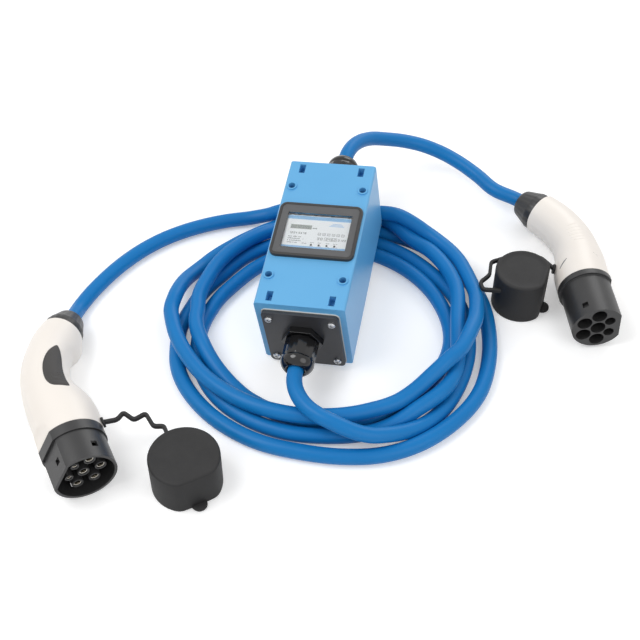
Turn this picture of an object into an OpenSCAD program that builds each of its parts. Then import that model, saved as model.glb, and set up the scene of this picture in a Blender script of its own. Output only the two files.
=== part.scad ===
/* [Cable] */
// Outside diameter of the charging cable
cable_d = 16.4; // [12:0.1:17]
// Running clearance between the cable and whatever it passes through
cable_gap = 0.15; // [0.1:0.05:0.4]

/* [Coil] */
// Radius of the innermost turn, to the middle of the cable
coil_r = 128; // [126:1:130]
// Distance between neighbouring turns on the floor
coil_pitch = 20; // [17:0.5:21]
// How far the upper turns settle into the lower ones
coil_press = 0.3; // [0.2:0.1:1]
// Centre of the coil, left to right
coil_x = 17; // [14:1:20]
// Centre of the coil, front to back
coil_y = -47; // [-49:1:-45]

/* [Meter box] */
// Width of the box
box_w = 94; // [90:1:110]
// Length of the box
box_l = 192; // [180:1:230]
// Height of the box
box_h = 95; // [90:1:110]
// Wall thickness of the two shells
wall = 3.2; // [2.5:0.1:4]
// Radius of the long edges
edge_r = 3; // [1:0.5:5]
// Angle by which the back of the box is propped up on the coil
box_pitch = 7.5; // [0:0.5:9]
// Angle by which the right side of the box is propped up
box_roll = 4.9; // [0:0.1:6]
// Height of the lip that locates the shells on each other
lip_h = 2; // [1:0.5:4]
// Clearance between parts that are pushed together
fit = 0.2; // [0.1:0.05:0.3]

/* [Cover screws] */
// Half the distance between the screw wells across the box
well_x = 38.5; // [36:0.5:40]
// Half the distance between the screw wells along the box
well_y = 60; // [52:1:66]
// Diameter of the well that hides the screw head
well_d = 7.5; // [7:0.1:8]
// Outside diameter of the raised ring and of the post below it
boss_d = 10.5; // [10:0.1:12]
// Height of the raised ring above the lid
boss_rise = 1.6; // [0.5:0.1:3]
// Thread diameter of the cover screws and the plate screws
screw_d = 4; // [3:0.1:4.5]

/* [Lid pockets] */
// Half the distance between the pockets across the box
pocket_x = 32.2; // [28:0.2:36]
// Distance from the end of the box to the middle of a pocket
pocket_inset = 10; // [9:0.5:14]
// Width of a pocket
pocket_w = 6.5; // [4:0.5:8]
// Length of a pocket
pocket_l = 12; // [8:0.5:13]
// Depth of a pocket
pocket_depth = 10; // [5:0.5:12]

/* [Window] */
// Width of the window frame
frame_w = 89; // [86:0.5:90]
// Length of the window frame
frame_l = 71; // [66:0.5:76]
// Height of the frame above the lid
frame_rise = 4; // [3:0.5:6]
// Corner radius of the frame
frame_r = 8; // [4:0.5:12]
// Width of the flat crest of the frame
frame_crest = 5; // [3:0.5:7]
// Thickness of the clear pane
pane_t = 1.5; // [1:0.1:2]

/* [Energy meter] */
// Width of the meter across the rail
meter_w = 71.5; // [68:0.5:72]
// Length of the meter with its terminals
meter_l = 90; // [80:1:92]
// Length of the raised front of the meter
nose_l = 45; // [40:1:46]
// Depth from the rail to the front of the meter
meter_depth = 58; // [54:1:60]
// Depth from the rail to the top of the terminals
shoulder_depth = 44; // [38:1:46]
// Diameter of the terminal screws
terminal_d = 6; // [4:0.5:7]
// Width of the top-hat rail
rail_w = 35; // [34:0.5:36]
// Height of the top-hat rail
rail_h = 7.5; // [6:0.5:8]
// Thickness of the rail
rail_t = 1; // [0.8:0.1:1.5]

/* [End plates] */
// Width of the black end plates
plate_w = 80; // [76:0.5:84]
// Height of the black end plates
plate_h = 85; // [80:0.5:85]
// Thickness of the end plates
plate_t = 4; // [3:0.5:6]
// Corner radius of the end plates
plate_r = 5; // [3:0.5:8]
// How far the plates sit below the middle of the box
plate_drop = 4; // [0:0.5:4]
// Thickness of the pale gasket under each plate
gasket_t = 1; // [0.5:0.1:2]
// How far the gasket shows around the plate
gasket_edge = 0.8; // [0.2:0.1:1]
// Half the distance between plate screws, both ways
plate_screw = 32.5; // [32:0.5:34]

/* [Cable glands] */
// Diameter of the thread that goes through the plate
gland_thread_d = 32; // [28:0.5:36]
// Width across the flats of the gland body
gland_af = 38; // [36:0.5:42]
// Thickness of the hexagon on the gland body
gland_hex_h = 7; // [5:0.5:9]
// Outside diameter of the dome nut
dome_d = 35.5; // [34:0.5:38]
// Distance from the plate to the mouth of the dome nut
gland_reach = 41; // [38:0.5:46]
// Thickness of the locknut inside the box
locknut_h = 6; // [4:0.5:7]

/* [Contacts] */
// Bore of the power contacts
power_bore = 6.1; // [5.5:0.1:6.5]
// Bore of the two signal contacts
signal_bore = 3.2; // [2.8:0.1:3.5]
// Diameter of the power pins
power_pin = 6; // [5.4:0.1:6.4]
// Diameter of the signal pins
signal_pin = 3; // [2.6:0.1:3.4]
// Distance from the middle contact to its neighbours in the same row
row_pitch = 17.3; // [16.8:0.1:18]
// Half the distance between the two contacts of the lower row
low_half = 8.5; // [8.4:0.1:9]
// How far the lower row lies below the middle row
low_drop = 14.8; // [14.6:0.1:15.2]
// Half the distance between the two signal contacts
signal_half = 8.2; // [7.6:0.1:8.6]
// How far the signal contacts lie above the middle row
signal_rise = 12.1; // [12:0.1:13]

/* [Vehicle connector] */
// Outside diameter of the shroud
shroud_d = 63; // [61:0.5:66]
// Distance from the middle of the shroud to its flat side
shroud_flat = 26.5; // [25.5:0.5:28]
// Wall thickness of the shroud
shroud_wall = 2.8; // [2:0.1:3]
// Distance from the handle to the rim of the shroud
shroud_l = 44.5; // [42:0.5:50]
// Diameter of the flange between shroud and handle
shroud_flange_d = 66; // [65:0.5:67]
// Thickness of the flange
shroud_flange_t = 11; // [8:0.5:13]
// Distance from the handle to the tips of the contact towers
tower_reach = 36; // [30:0.5:38]
// Diameter of the power contact towers
tower_d = 11.8; // [11.2:0.1:12]
// Diameter of the signal contact towers
small_tower_d = 8.6; // [7:0.1:9]

/* [Plug] */
// Outside diameter of the plug body
plug_d = 55.5; // [55:0.5:57]
// Distance from the middle of the plug body to its flat side
plug_flat = 23.5; // [22:0.5:25]
// Distance from the handle to the face of the plug
plug_l = 59; // [50:0.5:64]
// Diameter of the flange between plug body and handle
plug_flange_d = 60; // [59:0.5:61]
// Thickness of the plug flange
plug_flange_t = 7; // [5:0.5:10]
// Diameter of the wells around the power pins
plug_well_d = 13.3; // [12.4:0.1:13.6]
// Diameter of the wells around the signal pins
small_well_d = 9.8; // [9:0.1:10]
// Depth of the wells
plug_well_depth = 34; // [28:0.5:40]
// How far the pin tips stay below the face
pin_recess = 8; // [5:0.5:12]

/* [Handles] */
// Wall thickness of the handle shells
shell_wall = 2.6; // [2:0.1:3]
// Wide diameter of the screwed collar behind a handle
collar_d = 43.5; // [42:0.5:45]
// Narrow diameter of the collar where the cable leaves it
collar_tip_d = 29; // [26:0.5:31]
// Length of the collar
collar_l = 29; // [24:0.5:34]
// Thickness of the side grips
grip_t = 1.6; // [1:0.1:2.5]

/* [Dust caps] */
// Rubber thickness of the vehicle connector's cap
big_cap_wall = 3.2; // [2:0.1:3.6]
// Rubber thickness of the plug's cap
small_cap_wall = 2.2; // [1.8:0.1:3]
// Height of the vehicle connector's cap
big_cap_h = 44; // [38:1:50]
// Height of the plug's cap
small_cap_h = 51; // [44:1:56]
// Clearance of a cap around the part that it covers
cap_fit = 0.4; // [0.3:0.1:0.8]
// Radius of the round pull tab
tab_r = 7.8; // [5:0.2:9]
// Thickness of the pull tab
tab_t = 3; // [2:0.5:5]
// Width of the zigzag strap
strap_w = 3.4; // [2.5:0.1:5]
// Height of the zigzag strap
strap_h = 5; // [3:0.5:7]

/* [Hidden] */
$fn = 64;
over = 1;
near = 0.05;

// The box stands on its lowest corner, so its middle is this high
box_lift = (box_w / 2 - edge_r) * sin(box_roll) * cos(box_pitch)
    + (box_h / 2 - edge_r) * cos(box_roll) * cos(box_pitch)
    + edge_r * cos(box_pitch) + box_l / 2 * sin(box_pitch);
lid_z = box_h / 2;
floor_z = wall - box_h / 2;
inner_w = box_w - 2 * wall;
inner_l = box_l - 2 * wall;
plate_face = box_l / 2 + gasket_t + plate_t;
plate_bore = gland_thread_d + 2 * fit;
opening_w = 56;
opening_h = 60;

// Levels inside the box
glass_z = lid_z;
frame_seat = glass_z + pane_t + 0.1;
nose_z = glass_z - 1.5;
rail_top_z = nose_z - meter_depth;
rail_z = rail_top_z - rail_h;
shoulder_z = rail_top_z + shoulder_depth;
window_w = meter_w + 2.5;
window_l = nose_l + 5;
pane_w = window_w + 3;
pane_l = window_l + 5;
glass_w = frame_w - 2 * (frame_crest + 5.5);
glass_l = frame_l - 2 * (frame_crest + 7.25);
bevel_foot = 0.7;
shelf_z = 14;
rail_screw_x = 27;
rail_l = 80;
rail_base_w = 27;
terminal_pitch = 18;
terminal_y = 37;
entry_z = shoulder_z - 19;
face_t = 0.6;
lamp_pitch = 8.2;
lamp_from = [-3, 6 - nose_l / 2];
latch_w = 12;

// Gland levels, from the face of the plate outwards
gland_bore = cable_d + 5.6;
seal_pocket_d = 25.2;
neck_d = 30;
sleeve_l = 17;
neck_l = 20;
seal_from = 6;
seal_to = 22;
locknut_af = 40;

// Contact places in one connector, as [across, up]
power_at = [[0, 0], [row_pitch, 0], [-row_pitch, 0], [low_half, -low_drop], [-low_half, -low_drop]];
signal_at = [[signal_half, signal_rise], [-signal_half, signal_rise]];
shroud_in_d = shroud_d - 2 * shroud_wall;
shroud_in_flat = shroud_flat - shroud_wall;
spigot_l = 5;
insert_t = 6;
tail_l = 14;
socket_rim = 2.6;
small_rim = 2;
plug_root = 10;
well_floor = plug_l - plug_well_depth;
pin_step = 1;
hold_fit = 0.1;
contact_recess = 1.6;
core_r = 1.7;
core_ring = 5;
jacket_in = 12;

// Where the two connectors lie: middle of the handle front, then roll, tip and heading
connector_at = [-197.4, -259.3, 33.9];
connector_turn = [62.5, 2.6, -54.2];
plug_at = [282.4, 44.6, 30.1];
plug_turn = [-86.8, -1, -74.2];

// Where the cable leaves each handle: [back, up, slope]
connector_end = [-144.4, -35.98, 40];
plug_end = [-122.95, -22.46, 37];
neck_r = 17;
thread_l = 11;
neck_bore = neck_r - shell_wall;
ring_steps = 12;
round_top = 40;

// The threaded neck behind a handle whose end has the given half height and half width
function neck(end, high, wide) = [for (k = [[-3.2, 0, 0], [-0.5, 1, 0], [0, 1, 1], [thread_l, 1, 1]])
    let (b = behind(end, k[0]), thick = k[1] > 0 && k[2] == 0 ? high - neck_r : 0)
    [b[0], b[2], end[2], k[2] > 0 ? neck_r : high, k[2] > 0 ? neck_r : wide, round_top, thick]];

// Handle stations: [back, up, slope, half height, half width, flat side, extra wall]
connector_stations = concat([
    [0, 0, 0, 33, 32.8, 29, 0], [-12, -1, 0, 33.6, 32.4, 31, 0], [-24, -2, 0, 34, 31.8, round_top, 0],
    [-41, -0.3, -4, 32.5, 30, round_top, 0], [-57, 3.5, -4, 27.8, 27, round_top, 0],
    [-68, 3.6, 3, 25.8, 25.5, round_top, 0], [-81, 1.4, 12, 25, 24.5, round_top, 0],
    [-93, -2.6, 21, 24.5, 24, round_top, 0], [-104, -7.6, 27, 24.2, 23.6, round_top, 0],
    [-115, -14, 32, 24, 23.2, round_top, 0], [-126, -21.3, 36, 24, 22.8, round_top, 0],
    [-136, -29, 39, 23.6, 22.4, round_top, 0]], neck(connector_end, 23, 22.2));
plug_stations = concat([
    [0, -0.3, 0, 29.6, 29.4, round_top, 0], [-11, -0.4, 0, 29.4, 29.2, round_top, 0],
    [-24, 0.5, -3, 29, 28.6, round_top, 0], [-38, 2.7, -3, 27.3, 27, round_top, 0],
    [-49, 3.2, 0, 25.8, 25.8, round_top, 0], [-59, 3.1, 4, 24.9, 25, round_top, 0],
    [-70, 1.9, 9, 24.6, 24.6, round_top, 0], [-81, -0.8, 17, 24.4, 24.2, round_top, 0],
    [-91, -4.2, 22, 24.4, 24, round_top, 0], [-102, -9, 27, 24.3, 23.8, round_top, 0],
    [-112, -14.8, 32, 24, 23.6, round_top, 0]], neck(plug_end, 23.6, 23.2));

// Coil levels and the angles between which the upper turns run
lower_z = cable_d / 2;
upper_z = lower_z + sqrt(pow(cable_d, 2) - pow(coil_pitch / 2, 2)) - coil_press;
upper_in_r = coil_r + coil_pitch / 2;
upper_out_r = upper_in_r + coil_pitch;
drop_angle = -55;
tail_angle = 90;
inner_from = 122;
inner_to = 433;

// Middle of the cable from the front gland down onto the coil
drop_points = [[0.6, -150, 43.9], [4, -161, 42.8], [11, -172, 41.8], [21, -181.5, 41], [33, -188, 40.2],
    [46, -192, 38.6], [60, -194.4, 35], [74, -194.2, 30.4], [88, -190, 25.6], [98, -184.2, 22.9]];
// Middle of the cable from the coil to the vehicle connector
tail_points = [[-3, 113.2, 23.2], [-26, 115.4, 24.8], [-46, 114.8, 23.8], [-66, 113, 20], [-85, 110, 13.6],
    [-104, 106, 9.2], [-127, 98, 8.3], [-152, 85.5, 8.3], [-175.5, 70, 8.3], [-197, 51, 8.3],
    [-215.5, 28.5, 8.3], [-231, 3, 8.3], [-243.4, -24.6, 8.3], [-252, -50, 8.4], [-256.6, -72, 9.2]];
// Middle of the cable from the rear gland to the plug
lead_points = [[0.6, 152, 83.4], [3.4, 165, 83.4], [10, 182, 79.6], [21, 199, 72], [38, 214, 61.6],
    [58, 225.4, 52.4], [80, 231, 44.6], [103, 229.6, 38], [127, 220.6, 32.8], [149, 206.4, 29.4],
    [170, 188.6, 27.2]];

// Caps: middle, turn and zigzag of the strap
big_cap_at = [-83.5, -262];
big_cap_turn = -52;
small_cap_at = [214.5, 39];
small_cap_turn = -10;
big_strap = [[-160, -228.5], [-157, -219], [-144, -226], [-135, -216], [-123, -230],
    [-113, -227.5], [-106.7, -237.9]];
small_strap = [[232, 77], [205, 78], [188, 66], [178.6, 60], [179, 40], [170, 27], [174, 17], [193, 19]];
big_strap_z = 35.5;
small_strap_z = 32;

// Where a strap is buttoned to its handle: [back, turn from the top, out, lean]
connector_peg = [-6, 146, 33.8, 0];
plug_peg = [-27, -168, 28.4, -14];
peg_d = 4;
button_d = 11;
button_t = 2.4;

function unit(v) = v / norm(v);
function rot_x(p, a) = [p[0], p[1] * cos(a) - p[2] * sin(a), p[1] * sin(a) + p[2] * cos(a)];
function rot_y(p, a) = [p[0] * cos(a) + p[2] * sin(a), p[1], -p[0] * sin(a) + p[2] * cos(a)];
function rot_z(p, a) = [p[0] * cos(a) - p[1] * sin(a), p[0] * sin(a) + p[1] * cos(a), p[2]];
function placed(p, turn, at) = rot_z(rot_y(rot_x(p, turn[0]), turn[1]), turn[2]) + at;
function on_gland_axis(y) = [0, y * cos(box_pitch), box_lift + y * sin(box_pitch)];
function behind(end, s) = [end[0] - s * cos(end[2]), 0, end[1] - s * sin(end[2])];
function peg_xy(peg, turn, at) =
    let (out = peg[2] + button_t / 2, p = placed([peg[0], out * sin(peg[1]), out * cos(peg[1])], turn, at))
    [p[0], p[1]];
function ring_point(angle) = [coil_x + upper_out_r * cos(angle), coil_y + upper_out_r * sin(angle), upper_z];

// Points of one ring of a tube
function tube_ring(p, t, r, n) =
    let (side = unit(cross(t, [0, 0, 1])), up = cross(side, t))
    [for (k = [0 : n - 1]) p + r * (cos(k * 360 / n) * side + sin(k * 360 / n) * up)];

// A tube through given points, with given directions at both ends
module tube(path, r, first, last, n = 10) {
    m = len(path);
    t = [for (i = [0 : m - 1]) i == 0 ? unit(first) : i == m - 1 ? unit(last)
        : unit(path[i + 1] - path[i - 1])];
    pts = [for (i = [0 : m - 1]) each tube_ring(path[i], t[i], r, n)];
    sides = [for (i = [0 : m - 2], k = [0 : n - 1]) each [
        [i * n + k, (i + 1) * n + (k + 1) % n, i * n + (k + 1) % n],
        [i * n + k, (i + 1) * n + k, (i + 1) * n + (k + 1) % n]]];
    ends = [for (k = [1 : n - 2]) each [
        [0, k, k + 1],
        [(m - 1) * n, (m - 1) * n + k + 1, (m - 1) * n + k]]];
    polyhedron(points = pts, faces = concat(sides, ends), convexity = 6);
}

// One point of a handle's skin; angle 0 is the top, 90 the side
function skin(s, angle, side, inset) =
    let (y = side * (s[4] - inset) * sin(angle), z = min((s[3] - inset) * cos(angle), s[5] - inset))
    [s[0] - z * sin(s[2]), y, s[1] + z * cos(s[2])];

// Half of a handle as a hollow shell, side 1 or -1
module half_shell(stations, side) {
    m = ring_steps;
    q = 2 * (m + 1);
    n = len(stations);
    pts = [for (s = stations) each concat(
        [for (j = [0 : m]) skin(s, j * 180 / m, side, 0)],
        [for (j = [0 : m]) skin(s, 180 - j * 180 / m, side, shell_wall + s[6])])];
    loops = [for (i = [0 : n - 2], k = [0 : q - 1]) each [
        [i * q + k, i * q + (k + 1) % q, (i + 1) * q + (k + 1) % q],
        [i * q + k, (i + 1) * q + (k + 1) % q, (i + 1) * q + k]]];
    ends = [for (j = [0 : m - 1]) each [
        [j, q - 1 - j, q - 2 - j], [j, q - 2 - j, j + 1],
        [(n - 1) * q + j, (n - 1) * q + q - 2 - j, (n - 1) * q + q - 1 - j],
        [(n - 1) * q + j, (n - 1) * q + j + 1, (n - 1) * q + q - 2 - j]]];
    all_faces = concat(loops, ends);
    turned = [for (f = all_faces) [f[0], f[2], f[1]]];
    polyhedron(points = pts, faces = side > 0 ? turned : all_faces, convexity = 8);
}

// Soft pad on the side of a handle between two stations and two angles
module pad(stations, from, to, low, high, side, thick) {
    m = (high - low) * ring_steps / 180;
    q = 2 * (m + 1);
    n = to - from + 1;
    pts = [for (i = [from : to]) let (s = stations[i]) each concat(
        [for (j = [0 : m]) skin(s, low + j * (high - low) / m, side, i == from || i == to ? -0.5 : -thick)],
        [for (j = [0 : m]) skin(s, high - j * (high - low) / m, side, -near)])];
    loops = [for (i = [0 : n - 2], k = [0 : q - 1]) each [
        [i * q + k, i * q + (k + 1) % q, (i + 1) * q + (k + 1) % q],
        [i * q + k, (i + 1) * q + (k + 1) % q, (i + 1) * q + k]]];
    ends = [for (j = [0 : m - 1]) each [
        [j, q - 1 - j, q - 2 - j], [j, q - 2 - j, j + 1],
        [(n - 1) * q + j, (n - 1) * q + q - 2 - j, (n - 1) * q + q - 1 - j],
        [(n - 1) * q + j, (n - 1) * q + j + 1, (n - 1) * q + q - 2 - j]]];
    all_faces = concat(loops, ends);
    turned = [for (f = all_faces) [f[0], f[2], f[1]]];
    polyhedron(points = pts, faces = side > 0 ? turned : all_faces, convexity = 6);
}

module in_box() {
    translate([0, 0, box_lift]) rotate([box_pitch, 0, 0]) rotate([0, -box_roll, 0]) children();
}

// Places children with +Z pointing out of the front or rear plate
module on_end(side) {
    in_box() translate([0, side * plate_face, 0]) rotate([-side * 90, 0, 0]) children();
}

module at_connector() {
    translate(connector_at) rotate(connector_turn) children();
}

module at_plug() {
    translate(plug_at) rotate(plug_turn) children();
}

// Places children with +Z along the cable behind a handle
module behind_handle(end) {
    translate([end[0], 0, end[1]]) rotate([0, 270 - end[2], 0]) children();
}

module slab(x, y, z0, z1) {
    translate([-x / 2, -y / 2, z0]) cube([x, y, z1 - z0]);
}

module rounded_slab(x, y, r, z0, z1) {
    union() {
        slab(x - 2 * r, y, z0, z1);
        slab(x, y - 2 * r, z0, z1);
        for (i = [-1, 1], j = [-1, 1])
            translate([i * (x / 2 - r), j * (y / 2 - r), z0]) cylinder(r = r, h = z1 - z0);
    }
}

module box_skin(z0, z1) {
    intersection() {
        rotate([90, 0, 0]) rounded_slab(box_w, box_h, edge_r, -box_l / 2, box_l / 2);
        slab(box_w + 2, box_l + 2, z0, z1);
    }
}

module end_blocks(z0, z1) {
    for (side = [-1, 1], i = [-1, 1], j = [-1, 1])
        intersection() {
            translate([i * (plate_screw + 2.5), side * (inner_l / 2 - 4.5), j * plate_screw - plate_drop])
                cube([15, 11, 11], center = true);
            slab(inner_w + over, inner_l + over, z0, z1);
        }
}

module end_holes() {
    for (side = [-1, 1], i = [-1, 1], j = [-1, 1])
        translate([i * plate_screw, side * (box_l / 2 + over), j * plate_screw - plate_drop])
            rotate([side * 90, 0, 0]) cylinder(d = screw_d + 0.1, h = 14);
    for (side = [-1, 1])
        translate([0, side * (box_l / 2 - wall / 2), -plate_drop])
            cube([opening_w, wall + 2 * over, opening_h], center = true);
}

module housing_base() {
    color("#2a8fe0") in_box() difference() {
        union() {
            difference() {
                box_skin(-box_h / 2, 0);
                slab(inner_w, inner_l, floor_z, over);
            }
            difference() {
                slab(inner_w + wall - fit, inner_l + wall - fit, -over, lip_h - fit);
                slab(inner_w, inner_l, -2 * over, lip_h + over);
            }
            for (i = [-1, 1], j = [-1, 1])
                translate([i * well_x, j * well_y, floor_z - over]) cylinder(d = boss_d, h = over - floor_z);
            end_blocks(floor_z - over, 0);
            for (i = [-1, 1])
                translate([i * rail_screw_x, 0, floor_z - over])
                    cylinder(d = 12, h = rail_z - floor_z + over);
        }
        for (i = [-1, 1], j = [-1, 1])
            translate([i * well_x, j * well_y, -22]) cylinder(d = screw_d + 0.1, h = 30);
        for (i = [-1, 1]) translate([i * rail_screw_x, 0, rail_z - 12]) cylinder(d = screw_d + 0.1, h = 14);
        end_holes();
    }
}

module housing_cover() {
    color("#2f97e6") in_box() difference() {
        union() {
            difference() {
                box_skin(0, box_h / 2);
                slab(inner_w, inner_l, -over, lid_z - wall);
            }
            for (i = [-1, 1], j = [-1, 1])
                translate([i * well_x, j * well_y, 0]) cylinder(d = boss_d, h = lid_z + boss_rise);
            for (i = [-1, 1], j = [-1, 1])
                translate([i * pocket_x, j * (box_l / 2 - pocket_inset), 0])
                    slab(pocket_w + 4, pocket_l + 4, lid_z - pocket_depth - 2, lid_z - over);
            end_blocks(0, lid_z - wall + over);
        }
        slab(inner_w + wall, inner_l + wall, -over, lip_h);
        for (i = [-1, 1], j = [-1, 1]) translate([i * well_x, j * well_y, 0]) {
            translate([0, 0, shelf_z]) cylinder(d = well_d, h = box_h);
            translate([0, 0, -over]) cylinder(d = screw_d + 2 * fit, h = box_h);
        }
        for (i = [-1, 1], j = [-1, 1])
            translate([i * pocket_x, j * (box_l / 2 - pocket_inset), 0])
                slab(pocket_w, pocket_l, lid_z - pocket_depth, lid_z + over);
        slab(window_w, window_l, lid_z - 2 * wall, lid_z + over);
        for (i = [-1, 1], j = [-1, 1])
            translate([i * (frame_w / 2 - 4), j * (frame_l / 2 - 4), lid_z - wall - over])
                cylinder(d = 3 + 2 * fit, h = 3 * wall);
        end_holes();
    }
}

// Pan-head screw with a cross recess, head up, its seat at z = 0
module screw(d, length, head_d, head_h) {
    difference() {
        union() {
            translate([0, 0, -length]) cylinder(d = d, h = length + over / 2);
            cylinder(d = head_d, h = head_h * 0.6);
            translate([0, 0, head_h * 0.6]) cylinder(d1 = head_d, d2 = head_d * 0.7, h = head_h * 0.4);
        }
        for (a = [0, 90]) rotate(a) slab(head_d * 0.58, head_d * 0.15, head_h * 0.45, head_h + over);
    }
}

module cover_screws() {
    color("#b9bcc0") in_box() for (i = [-1, 1], j = [-1, 1])
        translate([i * well_x, j * well_y, shelf_z]) screw(screw_d, 32, well_d - 0.6, 2.6);
}

module window_frame() {
    x0 = glass_w / 2;
    y0 = glass_l / 2;
    x1 = frame_w / 2 - frame_crest;
    y1 = frame_l / 2 - frame_crest;
    z0 = frame_seat + bevel_foot;
    z1 = lid_z + frame_rise;
    k = 1 + 0.02 / (z1 - z0);
    color("#1c1d1f") in_box() difference() {
        union() {
            rounded_slab(frame_w, frame_l, frame_r, lid_z, z1);
            for (i = [-1, 1], j = [-1, 1])
                translate([i * (frame_w / 2 - 4), j * (frame_l / 2 - 4), lid_z - wall])
                    cylinder(d = 3, h = wall + over);
        }
        slab(pane_w + fit, pane_l + fit, lid_z - over, frame_seat);
        slab(glass_w, glass_l, lid_z, z1 + over);
        polyhedron(points = [[-x0, -y0, z0], [x0, -y0, z0], [x0, y0, z0], [-x0, y0, z0],
            [-x1, -y1, z1], [x1, -y1, z1], [x1, y1, z1], [-x1, y1, z1],
            [-x1, -y1, z1 + over], [x1, -y1, z1 + over], [x1, y1, z1 + over], [-x1, y1, z1 + over]],
            faces = [[0, 1, 2, 3], [0, 4, 5, 1], [1, 5, 6, 2], [2, 6, 7, 3], [3, 7, 4, 0],
                [4, 8, 9, 5], [5, 9, 10, 6], [6, 10, 11, 7], [7, 11, 8, 4], [8, 11, 10, 9]]);
        // The well rings of the lid pass under the corners of the frame
        for (i = [-1, 1], j = [-1, 1])
            translate([i * well_x, j * well_y, lid_z - over]) cylinder(d = boss_d + 2 * fit, h = 20);
    }
}

module window_pane() {
    color([0.75, 0.82, 0.85, 0.45]) in_box() slab(pane_w, pane_l, glass_z, glass_z + pane_t);
}

module meter_body() {
    color("#f2f3f1") in_box() difference() {
        union() {
            slab(meter_w, meter_l, rail_top_z, shoulder_z);
            slab(meter_w, nose_l, shoulder_z - over, nose_z - face_t);
            // Fixed hook that grips the far edge of the rail
            translate([0, rail_w / 2 + 3.2, 0]) slab(meter_w - 12, 6, rail_top_z - 3, rail_top_z + over);
            translate([0, rail_w / 2 + 1.4, 0]) slab(meter_w - 12, 4, rail_top_z - 3, rail_top_z - 1.3);
        }
        for (i = [-1.5 : 1.5], j = [-1, 1]) {
            translate([i * terminal_pitch, j * terminal_y, shoulder_z - 12]) cylinder(d = terminal_d + 0.6, h = 13);
            translate([i * terminal_pitch, j * (meter_l / 2 + over), entry_z])
                rotate([j * 90, 0, 0]) cylinder(d = 5.2, h = 16);
        }
        translate([0, -rail_w / 2 - 14, 0]) slab(latch_w + 2 * fit, 30, rail_top_z - over, rail_top_z + 3.2);
    }
}

module meter_display() {
    color("#9aa6a4") in_box() difference() {
        slab(meter_w - 3, nose_l - 3, nose_z - face_t, nose_z);
        for (i = [0 : 3]) translate([i * lamp_pitch + lamp_from[0], lamp_from[1], nose_z - over])
            cylinder(d = 2.4, h = 3);
    }
}

module meter_lamps() {
    color("#2b2d2f") in_box() for (i = [0 : 3])
        translate([i * lamp_pitch + lamp_from[0], lamp_from[1], nose_z - face_t]) cylinder(d = 2.2, h = 0.9);
}

module terminal_screws() {
    color("#c2c4c6") in_box() for (i = [-1.5 : 1.5], j = [-1, 1])
        translate([i * terminal_pitch, j * terminal_y, shoulder_z - 12]) difference() {
            cylinder(d = terminal_d, h = 9);
            for (a = [0, 90]) rotate(a) slab(terminal_d * 0.7, 1, 7.6, 10);
        }
}

module meter_latch() {
    color("#3a3c3e") in_box() union() {
        translate([0, -rail_w / 2 - 14, 0]) slab(latch_w, 24, rail_top_z + 0.1, rail_top_z + 3);
        translate([0, -rail_w / 2 - 6, 0]) slab(latch_w, 8, rail_top_z - 3, rail_top_z + over);
        translate([0, -rail_w / 2 - 2.2, 0]) slab(latch_w, 6, rail_top_z - 3, rail_top_z - 1.3);
    }
}

module din_rail() {
    color("#c9cccd") in_box() difference() {
        union() {
            slab(rail_l, rail_base_w, rail_z, rail_z + rail_t);
            for (j = [-1, 1]) {
                translate([0, j * (rail_base_w - rail_t) / 2, 0]) slab(rail_l, rail_t, rail_z, rail_top_z);
                translate([0, j * (rail_w / 2 - 2.4), 0]) slab(rail_l, 4.8, rail_top_z - rail_t, rail_top_z);
            }
        }
        for (i = [-1, 1]) translate([i * rail_screw_x, 0, rail_z - over]) cylinder(d = screw_d + 2 * fit, h = 3);
    }
}

module rail_screws() {
    color("#b9bcc0") in_box() for (i = [-1, 1])
        translate([i * rail_screw_x, 0, rail_z + rail_t]) screw(screw_d, 11, 8, 2.6);
}

// One insulated core inside the box, through points given in the box's own frame
module core(points, first, last) {
    tube([for (p = points) placed(p, [box_pitch, 0, 0], [0, 0, box_lift])], core_r,
        rot_x(first, box_pitch), rot_x(last, box_pitch), 6);
}

function rolled(x, y, z) = rot_y([x, y, z], -box_roll);

module supply_wires() {
    color("#7a5a3a") for (i = [-1.5 : 1.5])
        core([[i * 3.6, -82, 3.2], [i * 5.5, -76, 4.5], rolled(i * 13, -62, 9),
            rolled(i * terminal_pitch, -52, entry_z), rolled(i * terminal_pitch, -42, entry_z)],
            [0, 1, 0], [0, 1, 0]);
}

module load_wires() {
    color("#4a5a78") for (i = [-1.5 : 1.5])
        core([rolled(i * terminal_pitch, 42, entry_z), rolled(i * terminal_pitch, 52, entry_z),
            rolled(i * 13, 62, 9), [i * 5.5, 76, 4.5], [i * 3.6, 82, 3.2]],
            [0, 1, 0], [0, 1, 0]);
}

module earth_and_pilot_wires() {
    color("#5f8a3a") for (i = [-1, 1])
        core([[i * 3.2, -82, -4], [i * 4, -74, -6], rolled(i * 6, -56, -26), rolled(i * 8, -34, -31),
            rolled(i * 8, 34, -31), rolled(i * 6, 56, -26), [i * 4, 74, -6], [i * 3.2, 82, -4]],
            [0, 1, 0], [0, 1, 0]);
}

module plate() {
    difference() {
        rounded_slab(plate_w, plate_h, plate_r, -plate_t, 0);
        for (i = [-1, 1], j = [-1, 1]) translate([i * plate_screw, j * plate_screw, -plate_t - over])
            cylinder(d = screw_d + 2 * fit, h = 20);
        children();
    }
}

module end_plate(side) {
    color("#232426") on_end(side) translate([0, side * plate_drop, 0]) plate()
        translate([0, -side * plate_drop, -plate_t - over]) cylinder(d = plate_bore, h = 20);
}

module front_plate() {
    end_plate(-1);
}

module rear_plate() {
    end_plate(1);
}

module gasket(side) {
    color("#d5d5d0") on_end(side) translate([0, side * plate_drop, -plate_t - gasket_t]) difference() {
        rounded_slab(plate_w + 2 * gasket_edge, plate_h + 2 * gasket_edge, plate_r + gasket_edge, 0, gasket_t);
        slab(opening_w, opening_h, -over, gasket_t + over);
        for (i = [-1, 1], j = [-1, 1]) translate([i * plate_screw, j * plate_screw, -over])
            cylinder(d = screw_d + 2 * fit, h = 20);
    }
}

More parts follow.
